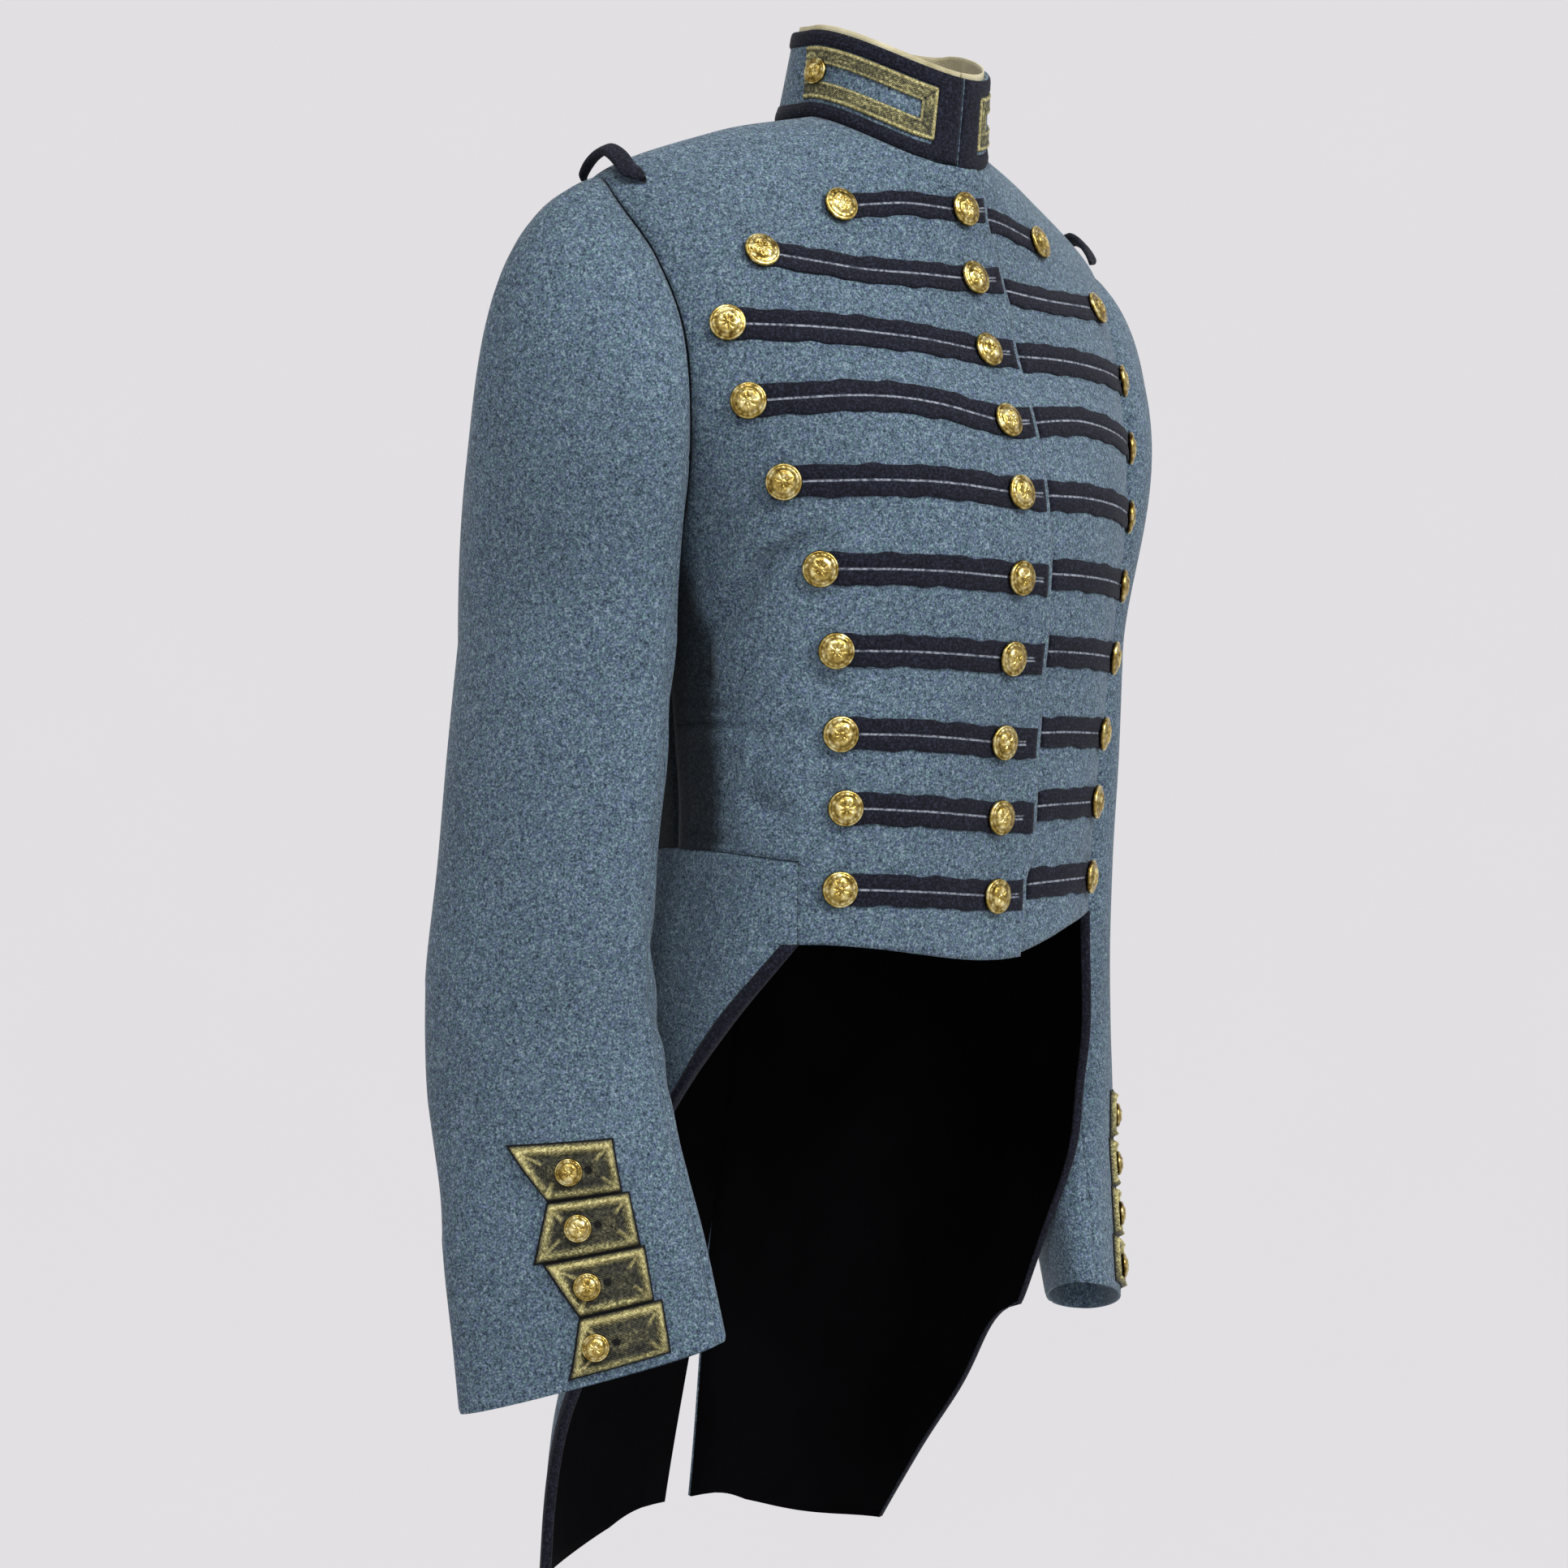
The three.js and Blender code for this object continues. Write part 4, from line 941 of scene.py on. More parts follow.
for side in SIDES:
    drops = side["seam_drops"]
    t = np.linspace(0, 1, 58)
    first = seam_angle(drops, True)
    last = drops + (WAIST_DROP_BACK - WAIST_DROP) * (drops / WAIST_DROP) ** 12
    angle = first[:, None] + (180 - first[:, None]) * t
    drop = drops[:, None] + (last - drops)[:, None] * t
    points = mirrored(body_point(angle, drop), side)
    normals = mirrored(body_normal(angle, drop), side)
    back_creases = [
        ([(128, 70, -250), (110, 95, -300), (84, 112, -345)], 12, 1.6),
        ([(132, 60, -330), (112, 92, -352), (90, 108, -366)], 9, 1.2),
        ([(128, 66, -392), (104, 98, -402), (80, 112, -410)], 9, 1.1),
        ([(60, 108, -150), (96, 104, -180), (130, 88, -232)], 16, 1.2),
    ]
    for path, width, depth in back_creases:
        points = fold(points, normals, mirrored(np.array(path, float), side), width, depth)
    outer = sunk_edges(points, normals, ["first", "last", "bottom", "top"])
    inner = points - normals * CLOTH
    for edge in ("first", "last"):
        outer, inner = pull_in(outer, edge, SEAM / 2), pull_in(inner, edge, SEAM / 2)
    # Painted shade for the wool behind the sleeve
    painted_arm_shade = under_arm(angle, drop)
    made = shell(f"back_{side['name']}_cloth", outer, inner, WOOL, values={"painted_arm_shade": painted_arm_shade})
    place(made, "wool", f"back_{side['name']}")

# Tails


def tail_places(side):
    """A tail's coarse places, from the waist seam down. The first column is the front edge."""
    front = side["front"]
    first_back = seam_angle(WAIST_DROP, True)
    t = np.arange(1, 7) / 6
    back_drops = WAIST_DROP + (WAIST_DROP_BACK - WAIST_DROP) * t
    back = np.stack([first_back + (180 - first_back) * t, back_drops], axis=-1)
    rows = [np.concatenate([front[WAIST_ROW, HEM_SEAM_COLUMN:], back])]
    count = len(rows[0])

    def spread(first, second, back_drop, ease):
        t = np.arange(1, count - 1) / (count - 2)
        angles = mix(second[0], 180, t)
        drops = mix(second[1], back_drop, t**ease)
        return np.concatenate([[first, second], np.stack([angles, drops], axis=-1)])

    def edge_row(first, back_drop, ease):
        here = body_point(*first)

        def away(angle):
            return np.linalg.norm(body_point(angle, first[1]) - here, axis=-1)

        angle = solve(away, EDGING, first[0], first[0] + 30)
        return spread(first, np.array([float(angle), first[1]]), back_drop, ease)

    for row in range(WAIST_ROW + 1, len(front)):
        first = front[row, HEM_SEAM_COLUMN]
        second = np.array([first[0] + 14 - 4 * (row - WAIST_ROW), first[1]])
        is_corner = row == len(front) - 1
        rows.append(edge_row(first, first[1] + 6, 1) if is_corner else spread(first, second, first[1] + 6, 1))
    for z in TAIL_EDGE["z"][1:]:
        drop = -z
        t = smooth(-720, -866, z)
        angle = float(angle_at_y(read(TAIL_EDGE, "z", z, side["name"]), drop))
        rows.append(edge_row(np.array([angle, drop]), mix(drop, -TAIL_HEM_BACK_Z, t), 1 + 2 * t))
    return np.array(rows)


def tail_grid(side, step):
    coarse = tail_places(side)
    corner = len(side["front"]) - 1 - WAIST_ROW
    fine, rows, columns = refine(coarse, step, [corner], [1])
    points = mirrored(body_point(fine[..., 0], fine[..., 1]), side)
    normals = mirrored(body_normal(fine[..., 0], fine[..., 1]), side)
    last = coarse.shape[1] - 1
    weight = np.clip(columns - (last - 1), 0, 1)
    apart = SEAM / 2 + VENT_GAP * smooth(-VENT_TOP, 866, -points[:, -1, 2])
    points[..., 0] += side["sign"] * apart[:, None] * weight
    points[0, :, 2] -= SEAM
    tail_creases = [
        ([(140, 40, -520), (132, 80, -600), (120, 116, -690)], 16, 1.6),
        ([(108, 112, -460), (112, 122, -560), (104, 136, -680)], 15, -1.3),
        ([(60, 116, -470), (64, 134, -600), (60, 158, -760)], 18, 1.5),
        ([(138, 4, -446), (138, 12, -470), (138, 26, -500)], 7, 1.6),
    ]
    for path, width, depth in tail_creases:
        points = fold(points, normals, mirrored(np.array(path, float), side), width, depth)
    return points, normals, rows, columns, corner


def folded_tape(strip, normals):
    """A tape that covers a tail's front edge and folds round to its inside. Returns its upper and under
    surfaces and its UVs."""
    last = strip.shape[1] - 1
    away = unit(strip[:, 0] - strip[:, 1])
    deep = CLOTH + SEAM + 1.0
    # Column on the strip, distance past the edge, and heights of the tape's two surfaces.
    path = [(last, 0, SEAM + 0.3, 0.1)]
    path += [(k, 0, SEAM + 1.1, 0.1) for k in range(last - 1, 0, -1)]
    path += [(0, 0, SEAM + 1.0, 0.1), (0, 0.9, 0.3, 0.0)]
    path += [(0, 0.9, -deep - 0.2, -deep), (0, 0, -deep - 0.7, -deep - 0.1)]
    upper = [strip[:, k] + away * past + normals[:, k] * high for k, past, high, _ in path]
    under = [strip[:, k] + away * past * 0.2 + normals[:, k] * low for k, past, _, low in path]
    upper, under = np.stack(upper, axis=1), np.stack(under, axis=1)
    uv = np.stack([running(upper, 0), running(upper, 1) - EDGING / 2], axis=-1)
    return upper, under, uv


for side in SIDES:
    name = side["name"]
    points, normals, rows, columns, corner = tail_grid(side, TAIL_STEP)
    corner_row = int(np.argmin(np.abs(rows - corner)))
    edge_column = int(np.argmin(np.abs(columns - 1)))
    outer = sunk_edges(points, normals, ["top", "last"])
    seam_part = sunk_edges(points, normals, ["first"])
    outer[: corner_row + 1] -= (points - seam_part)[: corner_row + 1]
    made = shell(f"tail_{name}_cloth", outer, points - normals * CLOTH, WOOL)
    place(made, "wool", f"tail_{name}")

    strip, strip_normals = points[corner_row:, : edge_column + 1], normals[corner_row:, : edge_column + 1]
    upper, under, uv = folded_tape(strip, strip_normals)
    made = shell(f"tail_edging_{name}_tape", upper, under, TAPE, uv=uv)
    side["edging"] = place(made, "braid", f"tail_edging_{name}")

    points, normals, *_ = tail_grid(side, LINING_STEP)
    outer, inner = points - normals * (CLOTH + SEAM), points - normals * (CLOTH + SEAM + 1)
    made = shell(f"tail_lining_{name}_cloth", outer, inner, LINING)
    side["lining"] = place(made, "lining", f"tail_lining_{name}")

# Sleeves


def armhole_ring(column):
    """Points of the armhole at fractional sleeve columns, from the shoulder forward and round."""
    drops = np.concatenate([[SHOULDER_DROP], BARS["lower_drop"][1:2]])
    for bar in range(2, 6):
        drops = np.append(drops, [BARS["upper_drop"][bar], BARS["lower_drop"][bar]])
    ring = np.concatenate([drops, drops[-2:0:-1], drops[:1]])
    drop = np.interp(column, np.arange(len(ring)), ring)
    back = column > len(drops) - 1
    on_armhole = np.minimum(drop, UNDERARM_DROP - 0.01)
    angle = np.where(drop <= SHOULDER_DROP, 90, seam_angle(on_armhole, back))
    return body_point(angle, drop)


def sleeve_point(row, azimuth):
    at = {name: read(SLEEVE, "row", row, name) for name in SLEEVE if name != "row"}
    turn = np.radians(at["turn"])
    around = np.radians(azimuth) - turn
    across = at["narrow"] * np.sign(np.cos(around)) * np.abs(np.cos(around)) ** 0.9
    along = -at["broad"] * np.sin(around)
    return np.stack(
        [
            at["out"] + across * np.cos(turn) + along * np.sin(turn),
            at["y"] - across * np.sin(turn) + along * np.cos(turn),
            at["z"] - at["slope"] * along,
        ],
        axis=-1,
    )


def sleeve_head(t, column):
    """The sleeve from the armhole (t 0) to its first full section (t 1)."""
    azimuth = column / SLEEVE_COLUMNS * 360
    turn = np.radians(azimuth)
    top, forward = np.maximum(np.cos(turn), 0), np.sin(turn)
    start = armhole_ring(column % SLEEVE_COLUMNS) + np.array([0.2 * SEAM, 0, 0])
    end = sleeve_point(np.zeros_like(azimuth), azimuth)
    reach = np.linalg.norm(end - start, axis=-1, keepdims=True)
    leaving = unit(np.stack([0.35 + 0.6 * top, -0.32 * forward, -0.8 + 0.52 * top], axis=-1))
    lead = leaving * reach * 1.15
    arrive = np.array([0, 0, -1]) * reach
    t = t[..., None]
    t2, t3 = t * t, t * t * t
    return (
        (2 * t3 - 3 * t2 + 1) * start
        + (t3 - 2 * t2 + t) * lead
        + (3 * t2 - 2 * t3) * end
        + (t3 - t2) * arrive
    )


HEAD_ROWS = 64
SECTION_ROWS = 122


def sleeve_tube(columns):
    """Points of a whole sleeve at fractional columns, from the armhole down."""
    head = np.linspace(0, 1, HEAD_ROWS + 1)[:-1]
    body = np.linspace(0, SLEEVE["row"][-1], SECTION_ROWS)
    c = np.asarray(columns, float)[None, :]
    upper = sleeve_head(np.repeat(head[:, None], c.shape[1], 1), np.repeat(c, len(head), 0))
    azimuth = np.repeat(c, len(body), 0) / SLEEVE_COLUMNS * 360
    lower = sleeve_point(np.repeat(body[:, None], c.shape[1], 1), azimuth)
    return np.concatenate([upper, lower])


# Soft creases of a sleeve: path as (row, azimuth) pairs, width and depth.
SLEEVE_CREASES = [
    ([(2.2, 95), (2.9, 140), (3.4, 190)], 10, 2.0),
    ([(2.8, 80), (3.6, 130), (4.0, 185)], 9, 1.8),
    ([(3.6, 75), (4.3, 120), (4.6, 175)], 9, 1.5),
    ([(0.2, 110), (0.9, 150), (1.4, 200)], 12, 1.8),
    ([(3.0, 330), (3.9, 350), (4.7, 372)], 16, 1.1),
    ([(1.0, 20), (2.2, 12), (3.2, 26)], 20, 1.0),
    ([(4.6, 300), (5.6, 318), (6.4, 330)], 14, 1.0),
    ([(0.0, 250), (1.4, 262), (2.6, 280)], 15, 1.3),
]


def sleeve_at(row, azimuth):
    row, azimuth = np.asarray(row, float), np.asarray(azimuth, float)
    head = sleeve_head(np.clip(row + 1, 0, 1), azimuth / 360 * SLEEVE_COLUMNS)
    return np.where((row < 0)[..., None], head, sleeve_point(np.maximum(row, 0), azimuth))


def creased_sleeve(points, normals, side):
    for path, width, depth in SLEEVE_CREASES:
        row, azimuth = np.array(path, float).T
        points = fold(points, normals, mirrored(sleeve_at(row, azimuth), side), width, depth)
    return points


def sleeve_panel(side, first, last):
    count = int(round((last - first) * 7.2))
    columns = np.linspace(first, last, count + 1)
    step = columns[1] - columns[0]
    wide = np.concatenate([[first - step], columns, [last + step]])
    points = sleeve_tube(wide)
    full = sleeve_tube(np.arange(SLEEVE_COLUMNS))
    centre = full.mean(axis=1, keepdims=True)
    points, centre = mirrored(points, side), mirrored(centre, side)
    normals = grid_normals(points, centre)
    return points[:, 1:-1], normals[:, 1:-1]


def sleeve_surface(side, row, azimuth):
    """Points and normals of the creased sleeve at any row and azimuth."""
    d = 0.04

    def at(r, a):
        return mirrored(sleeve_at(r, a), side)

    points = at(row, azimuth)
    down = at(row + d, azimuth) - at(row - d, azimuth)
    around = at(row, azimuth + 2) - at(row, azimuth - 2)
    normals = unit(np.cross(around, down)) * side["sign"]
    return creased_sleeve(points, normals, side), normals


for side in SIDES:
    for label, first, last in (
        ("undersleeve", UNDERSLEEVE[0], UNDERSLEEVE[1]),
        ("topsleeve", UNDERSLEEVE[1], UNDERSLEEVE[0] + SLEEVE_COLUMNS),
    ):
        points, normals = sleeve_panel(side, first, last)
        points = creased_sleeve(points, normals, side)
        outer = sunk_edges(points, normals, ["first", "last", "top"])
        outer = sunk_edges(outer, normals, ["bottom"], 0.6, 1.6)
        inner = points - normals * CLOTH
        for edge in ("first", "last"):
            outer, inner = pull_in(outer, edge, SEAM / 2), pull_in(inner, edge, SEAM / 2)
        made = shell(f"{label}_{side['name']}_cloth", outer, inner, WOOL)
        place(made, "wool", f"{label}_{side['name']}")

# Buttons


def button_mesh():
    """A domed button of radius 1 and height 1: rim, ring of beads, eight petals and a boss. Returns its
    points, faces and how dark each point is coloured: tarnish in the hollows, painted shade towards the rim and
    underneath."""
    radii = np.concatenate([[0.001], np.linspace(0.06, 0.86, 16), [0.9, 0.94, 0.975, 1.0, 1.0, 0.975, 0.94]])
    spokes = 64
    theta = np.arange(spokes) / spokes * 2 * math.pi
    r, a = np.meshgrid(radii, theta, indexing="ij")
    dome = 0.28 + 0.5 * np.sqrt(np.clip(1 - (0.97 * r) ** 2, 0, 1))
    petals = smooth(0.12, 0.24, r) * (1 - smooth(0.46, 0.62, r)) * np.abs(np.cos(4 * a)) ** 0.8
    rays = smooth(0.3, 0.42, r) * (1 - smooth(0.54, 0.66, r)) * np.abs(np.sin(4 * a)) ** 3 * 0.6
    beads = smooth(0.69, 0.74, r) * (1 - smooth(0.79, 0.84, r)) * (0.55 + 0.45 * np.cos(16 * a))
    boss = 1 - smooth(0.08, 0.17, r)
    rim = smooth(0.86, 0.92, r) * (1 - smooth(0.96, 1.0, r))
    height = dome + 0.15 * petals + 0.1 * rays + 0.07 * beads + 0.16 * boss + 0.05 * rim
    for k, below in zip((-4, -3, -2, -1), (0.24, 0.14, 0.06, 0.0)):
        height[k] = below
    proud = np.clip(petals + rays + beads + boss + rim + 0.35, 0, 1)
    # cavity: tarnish between the raised parts, and painted shade towards the rim and on the underside, which is
    # fully dark.
    cavity = np.clip(0.95 - proud + 0.22 * smooth(0.6, 1.0, r), 0, 1)
    cavity[-4:] = 1.0
    points = np.stack([r * np.cos(a), r * np.sin(a), height], axis=-1).reshape(-1, 3)
    rows = len(radii)
    number, after, faces = ring_faces(rows, spokes)
    floor = len(points)
    points = np.concatenate([points, [[0, 0, 0.0]]])
    cavity = np.append(cavity.ravel(), 1.0)
    base = np.stack([number[-1], after[-1], np.full(spokes, floor)], axis=-1)
    return points, faces.tolist() + base.tolist(), cavity


BUTTON = button_mesh()


def add_button(name, seat, normal, size, turn=0.0):
    """A button standing on a point along a normal."""
    points, faces, cavity = BUTTON
    scaled = points * np.array([size["radius"], size["radius"], size["height"]])
    facing = Vector(normal).to_track_quat("Z", "Y").to_matrix()
    rotation = facing @ Matrix.Rotation(math.radians(turn), 3, "Z")
    placed = scaled @ np.array(rotation).T + seat
    mesh = bpy.data.meshes.new(name)
    mesh.from_pydata((placed * MM).tolist(), [], faces)
    attribute = mesh.attributes.new("cavity", "FLOAT", "POINT")
    attribute.data.foreach_set("value", cavity)
    return add_to_scene(name, mesh, BRASS)


# Braid bars and their buttons


def bar_strip(side, bar):
    """Positions along and across a bar: distances out and across, on the front's surface."""
    start = -BARS["edge"][bar] + 4 if side["name"] == "right" else BARS["edge"][bar] + 2.5
    end = BARS["out"][bar] + 3
    outs = np.linspace(start, end, max(int((end - start) / BRAID_STEP), 6))
    half = BARS["width"][bar] / 2
    tape = np.array([-1, -0.97, -0.88, -0.6, -0.35, -0.12, -0.07, 0, 0.07, 0.12, 0.35, 0.6, 0.88, 0.97, 1])
    out, across = np.meshgrid(outs, tape * half, indexing="ij")
    ripple = 0.35 * np.sin(out / 5.3 + 2.1 * bar) + 0.25 * np.sin(out / 2.4 + 4.3 * bar)
    wide = 1 + 0.035 * np.sin(out / 3.7 + 1.7 * bar)
    height = bar_height(bar, out, side["rise"]) + across * wide + ripple * np.abs(tape)
    angle, drop = locate(out, height)
    points, normals = on_front(side, angle, drop)
    heights = np.interp(
        np.abs(tape), [0, 0.07, 0.12, 0.35, 0.6, 0.88, 0.97, 1.0], [0.75, 0.7, 1.1, 1.4, 1.4, 1.3, 0.9, 0.25]
    )
    heights = np.broadcast_to(heights, out.shape).copy()
    heights[0] = np.minimum(heights[0], 0.35)
    uv = np.stack([out, across], axis=-1)
    return points, normals, heights, uv


for side in SIDES:
    for bar in range(BAR_COUNT):
        name = f"{side['name']}_{bar + 1}"
        points, normals, heights, uv = bar_strip(side, bar)
        upper = points + normals * (SEAM + heights)[..., None]
        made = shell(f"braid_{name}_tape", upper, points + normals * 0.1, BRAID, uv=uv)
        side.setdefault("trims", []).append(place(made, "braid", f"braid_{name}"))
        out = (BARS["out"][bar] + 3) * 0.975
        angle, drop = locate(np.array([out, 0.0]), bar_height(bar, np.array([out, 0.0]), side["rise"]))
        seats, facing = on_front(side, angle[None, :], drop[None, :])
        seats = (seats + facing * (SEAM + BRAID_HEIGHT - 0.2))[0]
        made = add_button(f"button_{name}", seats[0], facing[0, 0], FRONT_BUTTON, 11 * bar)
        side["trims"].append(place(made, "brass"))
        if side["name"] == "right":
            seat = seats[1] + facing[0, 1] * SEAM
            made = add_button(f"button_centre_{bar + 1}", seat, facing[0, 1], FRONT_BUTTON, 17 * bar)
            side["trims"].append(place(made, "brass", f"centre_button_{bar + 1}"))

# Cuff lace


def cuff_panel(side, i):
    """A panel of folded lace with mitred corners. u runs across the panel from its pointed outer edge to
    its inner one, and v down it."""
    u, v = np.meshgrid(np.linspace(-0.022, 1.022, 57), np.linspace(-0.036, 1.036, 41), indexing="xy")
    inset = 0.034
    row = FIRST_CUFF_ROW + i + mix(inset, 1 - inset, v)
    outer = mix(CUFF_PANELS["top"][i], CUFF_PANELS["bottom"][i], v)
    azimuth = mix(outer, CUFF_PANELS["inner"][i], u)
    points, normals = sleeve_surface(side, row, azimuth)
    width = np.linalg.norm(points[20, 0] - points[20, -1])
    height = np.linalg.norm(points[0, 30] - points[-1, 30])
    to_side = np.minimum(u, 1 - u) * width
    to_end = np.minimum(v, 1 - v) * height
    near = np.minimum(to_side, to_end)
    rim = smooth(-0.2, 1.2, near)
    ridge = np.exp(-(((near - 2.4) / 1.7) ** 2))
    hollow = np.exp(-(((near - 7.2) / 2.6) ** 2))
    mitre = np.exp(-(((to_side - to_end) / 1.1) ** 2))
    mitre = mitre * smooth(0.5, 2.5, near) * (1 - smooth(9, 11, near))
    lift = SEAM + 0.35 + rim * (1.1 + 2.2 * ridge - 0.9 * hollow + 1.1 * mitre)
    hole_row = np.full((1, 1), FIRST_CUFF_ROW + i + 0.5)
    hole = sleeve_surface(side, hole_row, np.full((1, 1), CUFF_BUTTON_AZIMUTH + BUTTONHOLE_TURN))[0]
    in_hole = 1 - smooth(2.1, 3.5, np.linalg.norm(points - hole, axis=-1))
    lift = lift - 1.0 * in_hole
    along = np.where(to_side < to_end, v * height, u * width)
    uv = np.stack([along, near], axis=-1)
    # cavity is painted shade: the hollow inside the ridge, the middle round the button, darker towards the
    # bottom, the panel's border and the buttonhole. shine is a painted highlight on the ridge and mitres,
    # brighter towards the top.
    shadow = 1.0 * hollow + 0.7 * smooth(8, 10, near) + 0.3 * smooth(0.55, 1.0, v) * rim
    cavity = np.clip(shadow - 0.8 * mitre - 0.4 * ridge, 0, 0.88)
    cavity = np.maximum(np.maximum(cavity, 1 - rim), in_hole)
    shine = np.clip(0.8 * mitre + 0.8 * ridge * (1.15 - v), 0, 1) * rim * (1 - in_hole)
    return points, normals, lift, uv, cavity, shine


for side in SIDES:
    for i in range(4):
        name = f"{side['name']}_{i + 1}"
        points, normals, lift, uv, cavity, shine = cuff_panel(side, i)
        upper = points + normals * lift[..., None]
        values = {"cavity": cavity, "shine": shine}
        made = shell(f"cuff_lace_{name}_panel", upper, points + normals * 0.1, LACE, uv=uv, values=values)
        side["trims"].append(place(made, "lace", f"cuff_lace_{name}"))
        azimuth = np.array([[CUFF_BUTTON_AZIMUTH, CUFF_BUTTON_AZIMUTH + 4.0]])
        seats, facing = sleeve_surface(side, np.full((1, 2), FIRST_CUFF_ROW + i + 0.5), azimuth)
        seat = seats[0, 0] + facing[0, 0] * (SEAM + LACE_HEIGHT)
        made = add_button(f"button_cuff_{name}", seat, facing[0, 0], SMALL_BUTTON, 23 * i)
        side["trims"].append(place(made, "brass"))

# Collar


def collar_point(angle, level):
    """angle runs from 0 at the centre front round by the wearer's left. level is 0 at the foot and 1 at
    the top."""
    signed = np.where(angle > 180, angle - 360, angle)
    base = body_point(np.abs(signed), np.zeros_like(signed))
    turn = np.radians(np.abs(signed))
    reach = np.where(np.abs(signed) < 90, -COLLAR_TOP["front"], COLLAR_TOP["back"])
    top = np.stack(
        [COLLAR_TOP["side"] * np.sin(turn), reach * np.abs(np.cos(turn)), base[..., 2] + COLLAR_HEIGHT], axis=-1
    )
    lift = np.where(signed < 0, OVERLAP_LIFT * 0.7 * (1 - smooth(4, 30, -signed)), 0)
    base = base + np.stack([0 * signed, 0 * signed, 0.9 + lift], axis=-1)
    points = mix(base, top, level[..., None])
    points[..., 0] *= np.where(signed < 0, -1, 1)
    return points


def collar_grid(levels, angles):
    level, angle = np.meshgrid(levels, angles, indexing="ij")
    points = collar_point(angle, level)
    return points, grid_normals(points, np.array([0, 5, 0]))


COLLAR_ANGLES = np.linspace(CLOSED_OPENING, 360 - CLOSED_OPENING, COLLAR_STEPS * 8 + 1)
points, normals = collar_grid(np.linspace(-0.025, 1, 17), COLLAR_ANGLES)
made = shell("collar_cloth", points - normals * 0.05, points - normals * CLOTH, WOOL)
place(made, "wool", "collar")


binding_level = BINDING / COLLAR_HEIGHT
levels = np.concatenate(
    [
        [-0.025, 0.01, 0.06, binding_level - 0.03, binding_level - 0.01, binding_level],
        np.linspace(binding_level, 1 - binding_level, 8)[1:-1],
        [1 - binding_level, 1 - binding_level + 0.01, 1 - binding_level + 0.03, 0.94, 0.98, 1],
    ]
)
points, normals = collar_grid(levels, COLLAR_ANGLES)
down = running(points, 0).mean(axis=1)
across_columns = running(points, 1)
end_away = np.minimum(across_columns, across_columns[:, -1:] - across_columns)
end_width = np.interp(COLLAR_OPENING + COLLAR_STEP_ANGLE, COLLAR_ANGLES, across_columns[0])
from_edge = np.minimum(np.minimum(down, down[-1] - down)[:, None], end_away * BINDING / end_width)
cell = whole_cells(from_edge < BINDING + 0.6)
crown = 1 - np.abs(np.clip(from_edge / BINDING, 0, 1) * 2 - 1) ** 5
upper = points + normals * (0.35 + 0.95 * crown)[..., None]
uv = np.stack([np.broadcast_to(across_columns.mean(axis=0), from_edge.shape), from_edge], axis=-1)
made = shell("collar_binding_tape", upper, points + normals * 0.1, TAPE, cell, uv)
collar_trims = [place(made, "braid", "collar_binding")]

points, normals = collar_grid(np.linspace(0.55, 1 + 3.6 / COLLAR_HEIGHT, 12), COLLAR_ANGLES)
lean = points - normals * (CLOTH + SEAM)
made = shell("collar_liner_cloth", lean, lean - normals * 1.1, CREAM)
place(made, "cream", "collar_liner")

for side in SIDES:
    name = side["name"]
    start = COLLAR_OPENING + COLLAR_STEP_ANGLE
    end = COLLAR_OPENING + COLLAR_STEP_ANGLE * (0.6 + COLLAR_LACE_STEPS)
    angles = np.linspace(start - 0.2, end - 0.3, 91)
    if name == "right":
        angles = 360 - angles
    points, normals = collar_grid(np.linspace(binding_level + 0.01, 1 - binding_level - 0.01, 37), angles)
    length = running(points, 1)
    drop_down = running(points, 0)
    to_front, to_rear = length, length[:, -1:] - length
    to_side = np.minimum(drop_down, drop_down[-1:] - drop_down)
    band, rear = 10.5, 4.5
    near = np.minimum(to_side, to_front)
    in_band = 1 - smooth(band - 0.5, band + 0.5, near)
    in_rear = 1 - smooth(rear - 0.5, rear + 0.5, to_rear)
    lace_part = np.maximum(in_band, in_rear)
    rim = smooth(-0.1, 0.9, np.minimum(near, to_rear))
    cord = np.exp(-(((near - 1.4) / 0.8) ** 2)) + 0.7 * np.exp(-(((near - band + 1.0) / 0.7) ** 2))
    mitre = np.exp(-(((to_side - to_front) / 0.8) ** 2)) * in_band
    lift = SEAM + rim * lace_part * (0.9 + 0.5 * cord) - 0.3 * mitre * rim
    along = np.where(to_side < to_front, length, drop_down)
    uv = np.stack([along, near], axis=-1)
    # cavity is painted shade in the grooves, along the mitre and at the band's edges, over a quarter-strength
    # floor everywhere; shine is a painted highlight on the cords.
    grooves = np.exp(-(((near - 3.0) / 0.6) ** 2)) + 0.8 * np.exp(-(((near - band + 2.4) / 0.6) ** 2))
    edge = 1 - smooth(0, 0.7, np.minimum(near, to_rear))
    cavity = np.clip(0.6 * mitre + 0.6 * grooves * in_band + 0.9 * edge + 0.25, 0, 1)
    shine = np.clip(0.75 * cord * in_band, 0, 1) * (1 - edge)
    cell = whole_cells(lace_part > 0.3)
    upper = points + normals * lift[..., None]
    values = {"cavity": cavity, "shine": shine}
    made = shell(f"collar_lace_{name}_band", upper, points + normals * 0.1, LACE, cell, uv, values)
    collar_trims.append(place(made, "lace", f"collar_lace_{name}"))
    rear_angle = COLLAR_OPENING + COLLAR_STEP_ANGLE * (COLLAR_LACE_STEPS - 0.1)
    if name == "right":
        rear_angle = 360 - rear_angle
    seats, facing = collar_grid([0.45, 0.5, 0.55], rear_angle + np.array([-1.0, 0.0, 1.0]))
    seat = seats[1, 1] + facing[1, 1] * (SEAM + LACE_HEIGHT - 0.6)
    made = add_button(f"button_collar_{name}", seat, facing[1, 1], SMALL_BUTTON)
    collar_trims.append(place(made, "brass"))

# Shoulder loops


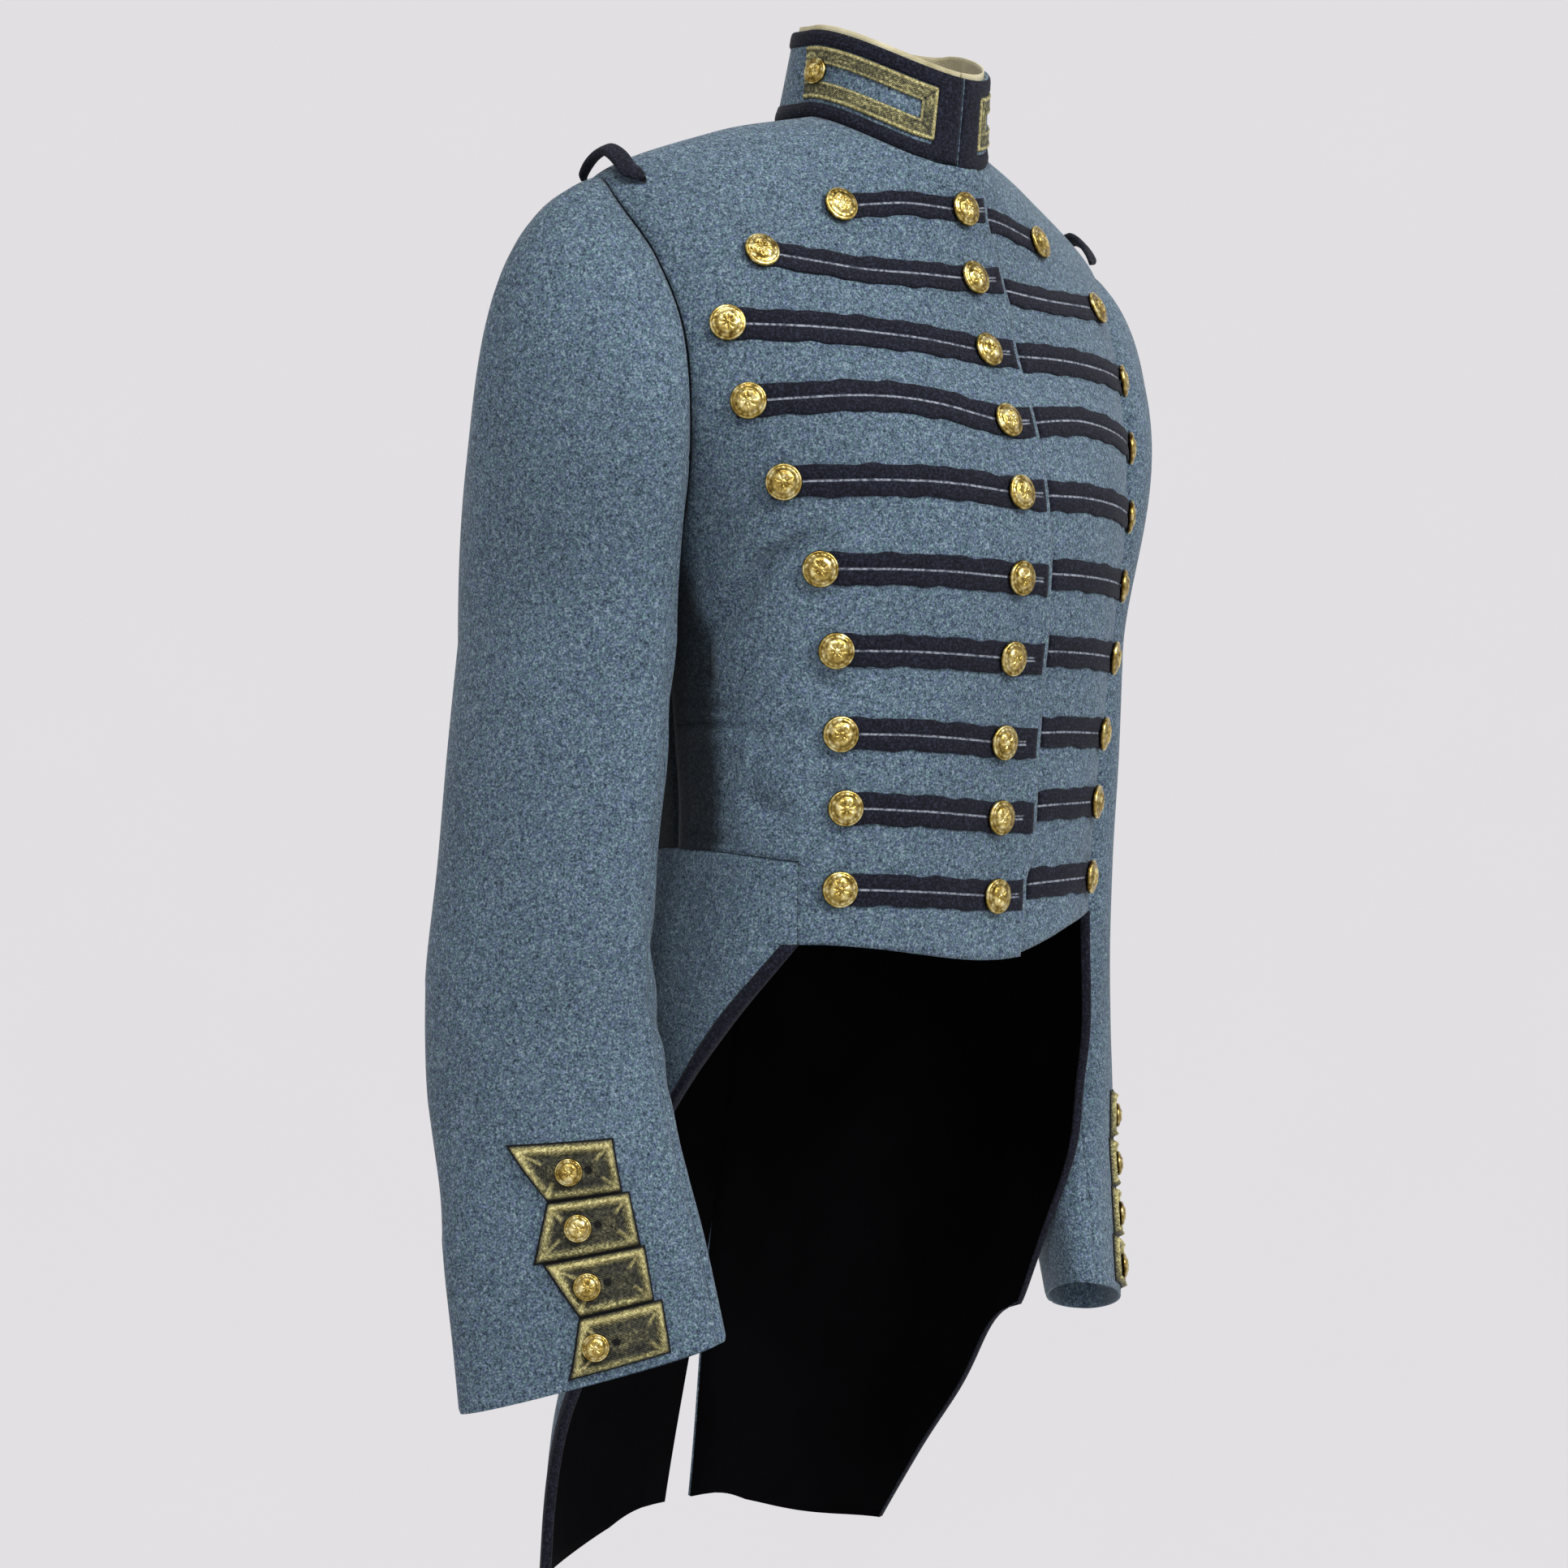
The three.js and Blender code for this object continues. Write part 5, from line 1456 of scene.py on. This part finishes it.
def shoulder_loop(side):
    """A flattened cloth tube that arches over the shoulder, with rounded edges and ends."""
    steps = 40
    t = np.linspace(0, 1, steps + 1)
    y = mix(LOOP["front_y"], LOOP["back_y"], t)

    def out_at(drop):
        return body_point(angle_at_y(y, drop), drop)[..., 0]

    drop = solve(out_at, np.full(len(t), float(LOOP["out"])), 30, SHOULDER_DROP)
    ground = body_point(angle_at_y(y, drop), drop)
    rise = LOOP["arch"] * np.sin(math.pi * np.clip(t, 0, 1)) ** 0.5
    broad = mix(1.25, 0.75, smooth(0.1, 0.8, t))
    width = np.array([0.88, 0, -0.47])
    up = unit(np.cross(np.array([0, 1.0, 0]), width))
    up = up if up[2] > 0 else -up
    centre = ground + up * (rise + LOOP["thick"] / 2)[:, None]
    turns = np.arange(20) / 20 * 2 * math.pi
    end_round = np.sqrt(np.clip(1 - (np.abs(2 * t - 1) ** 6), 0.02, 1))
    across = np.sign(np.cos(turns)) * np.abs(np.cos(turns)) ** 0.7 * LOOP["width"] / 2
    thick = np.sign(np.sin(turns)) * np.abs(np.sin(turns)) ** 0.7 * LOOP["thick"] / 2
    section = across[None, :, None] * width * (end_round * broad)[:, None, None]
    section = section + thick[None, :, None] * up * (0.5 + 0.5 * end_round[:, None, None])
    points = mirrored(centre[:, None, :] + section, side)
    rows, count = points.shape[:2]
    number, _, faces = ring_faces(rows, count)
    ends = []
    for row in (number[0], number[-1][::-1]):
        for k in range(count // 2 - 1):
            ends.append([row[k], row[k + 1], row[count - 2 - k], row[count - 1 - k]])
    length = running(points, 0)
    uv = np.stack([length, np.broadcast_to(across, length.shape)], axis=-1)
    made = make_object(
        f"shoulder_loop_{side['name']}_strap",
        points.reshape(-1, 3),
        np.concatenate([faces, np.array(ends)]),
        TAPE,
        uv.reshape(-1, 2),
    )
    return place(made, "braid", f"shoulder_loop_{side['name']}")


for side in SIDES:
    side["trims"].append(shoulder_loop(side))

# A loop over the sides that only reads each side's name

for side in SIDES:
    name = side["name"]

# Studio and camera


def backdrop():
    """A pale floor that curves up into a wall all round."""
    floor_z, radius, corner, top = -1500, 2900, 900, 3600
    profile = [(1, floor_z), (radius - corner, floor_z)]
    for k in range(1, 13):
        turn = math.radians(90 * k / 12)
        profile.append((radius - corner + corner * math.sin(turn), floor_z + corner * (1 - math.cos(turn))))
    profile.append((radius, top))
    sides = 96
    r, z = np.array(profile, float).T
    a = np.arange(sides) / sides * 2 * math.pi
    heights = np.broadcast_to(z[:, None], (len(r), sides))
    points = np.stack([r[:, None] * np.cos(a), r[:, None] * np.sin(a), heights], axis=-1)
    _, _, faces = ring_faces(len(r), sides)
    shader = Shader("pale_paper")
    grain = shader.noise(shader.node("ShaderNodeTexCoord").outputs["Object"], 4, 2.0)
    colour = shader.ramp(grain, [(0.3, srgb(38, 38, 38)), (0.7, srgb(42, 42, 42))])
    paper = shader.finish(colour, 0.95)
    shader.main.inputs["Emission Color"].default_value = srgb(225, 223, 226)
    shader.main.inputs["Emission Strength"].default_value = 0.955
    made = make_object("studio_backdrop", points.reshape(-1, 3), faces, paper)


def area_light(name, place_at, target, size, power):
    light = bpy.data.lights.new(name, "AREA")
    light.shape = "DISK"
    light.size = size
    light.energy = power
    made = bpy.data.objects.new(name, light)
    made.location = place_at
    made.rotation_mode = "QUATERNION"
    made.rotation_quaternion = (Vector(target) - Vector(place_at)).to_track_quat("-Z", "Y")
    bpy.context.scene.collection.objects.link(made)


backdrop()
area_light("key", (0.0, -2.5, 1.3), (0, 0, -0.4), 0.9, 60)
area_light("fill", (-1.7, -1.3, 2.1), (0, 0, -0.45), 0.7, 24)
area_light("top", (0.3, 0.3, 2.4), (0, 0, -0.3), 1.5, 14)
area_light("rear", (1.4, 1.7, 0.9), (0, 0, -0.4), 1.4, 10)

world = bpy.data.worlds.new("studio")
world.use_nodes = True
world.node_tree.nodes["Background"].inputs["Color"].default_value = srgb(236, 236, 240)
world.node_tree.nodes["Background"].inputs["Strength"].default_value = 0.25
bpy.context.scene.world = world
bpy.context.scene.view_settings.view_transform = "Standard"

# The camera stands about level with the waist, 45 degrees round to the wearer's right. Its place and focal
# length were chosen so that the render lies over the photograph.
CAMERA_DISTANCE = 1765
CAMERA_HEIGHT = -413
FOCAL_PIXELS = 3742
PHOTO_PIXELS = 1932
NECK_AXIS_RIGHT = 121  # pixels from the photograph's middle to the neck axis
HORIZON_BELOW = 34  # pixels from the photograph's middle down to the eye level

camera_data = bpy.data.cameras.new("camera")
camera_data.sensor_width = 36
camera_data.lens = FOCAL_PIXELS / PHOTO_PIXELS * camera_data.sensor_width
camera = bpy.data.objects.new("camera", camera_data)
diagonal = CAMERA_DISTANCE * math.sqrt(0.5) * MM
camera.location = (-diagonal, -diagonal, CAMERA_HEIGHT * MM)
yaw = math.radians(-45) + math.atan(NECK_AXIS_RIGHT / FOCAL_PIXELS)
pitch = math.radians(90) + math.atan(HORIZON_BELOW / FOCAL_PIXELS)
camera.rotation_euler = (pitch, 0, yaw)
bpy.context.scene.collection.objects.link(camera)
bpy.context.scene.camera = camera
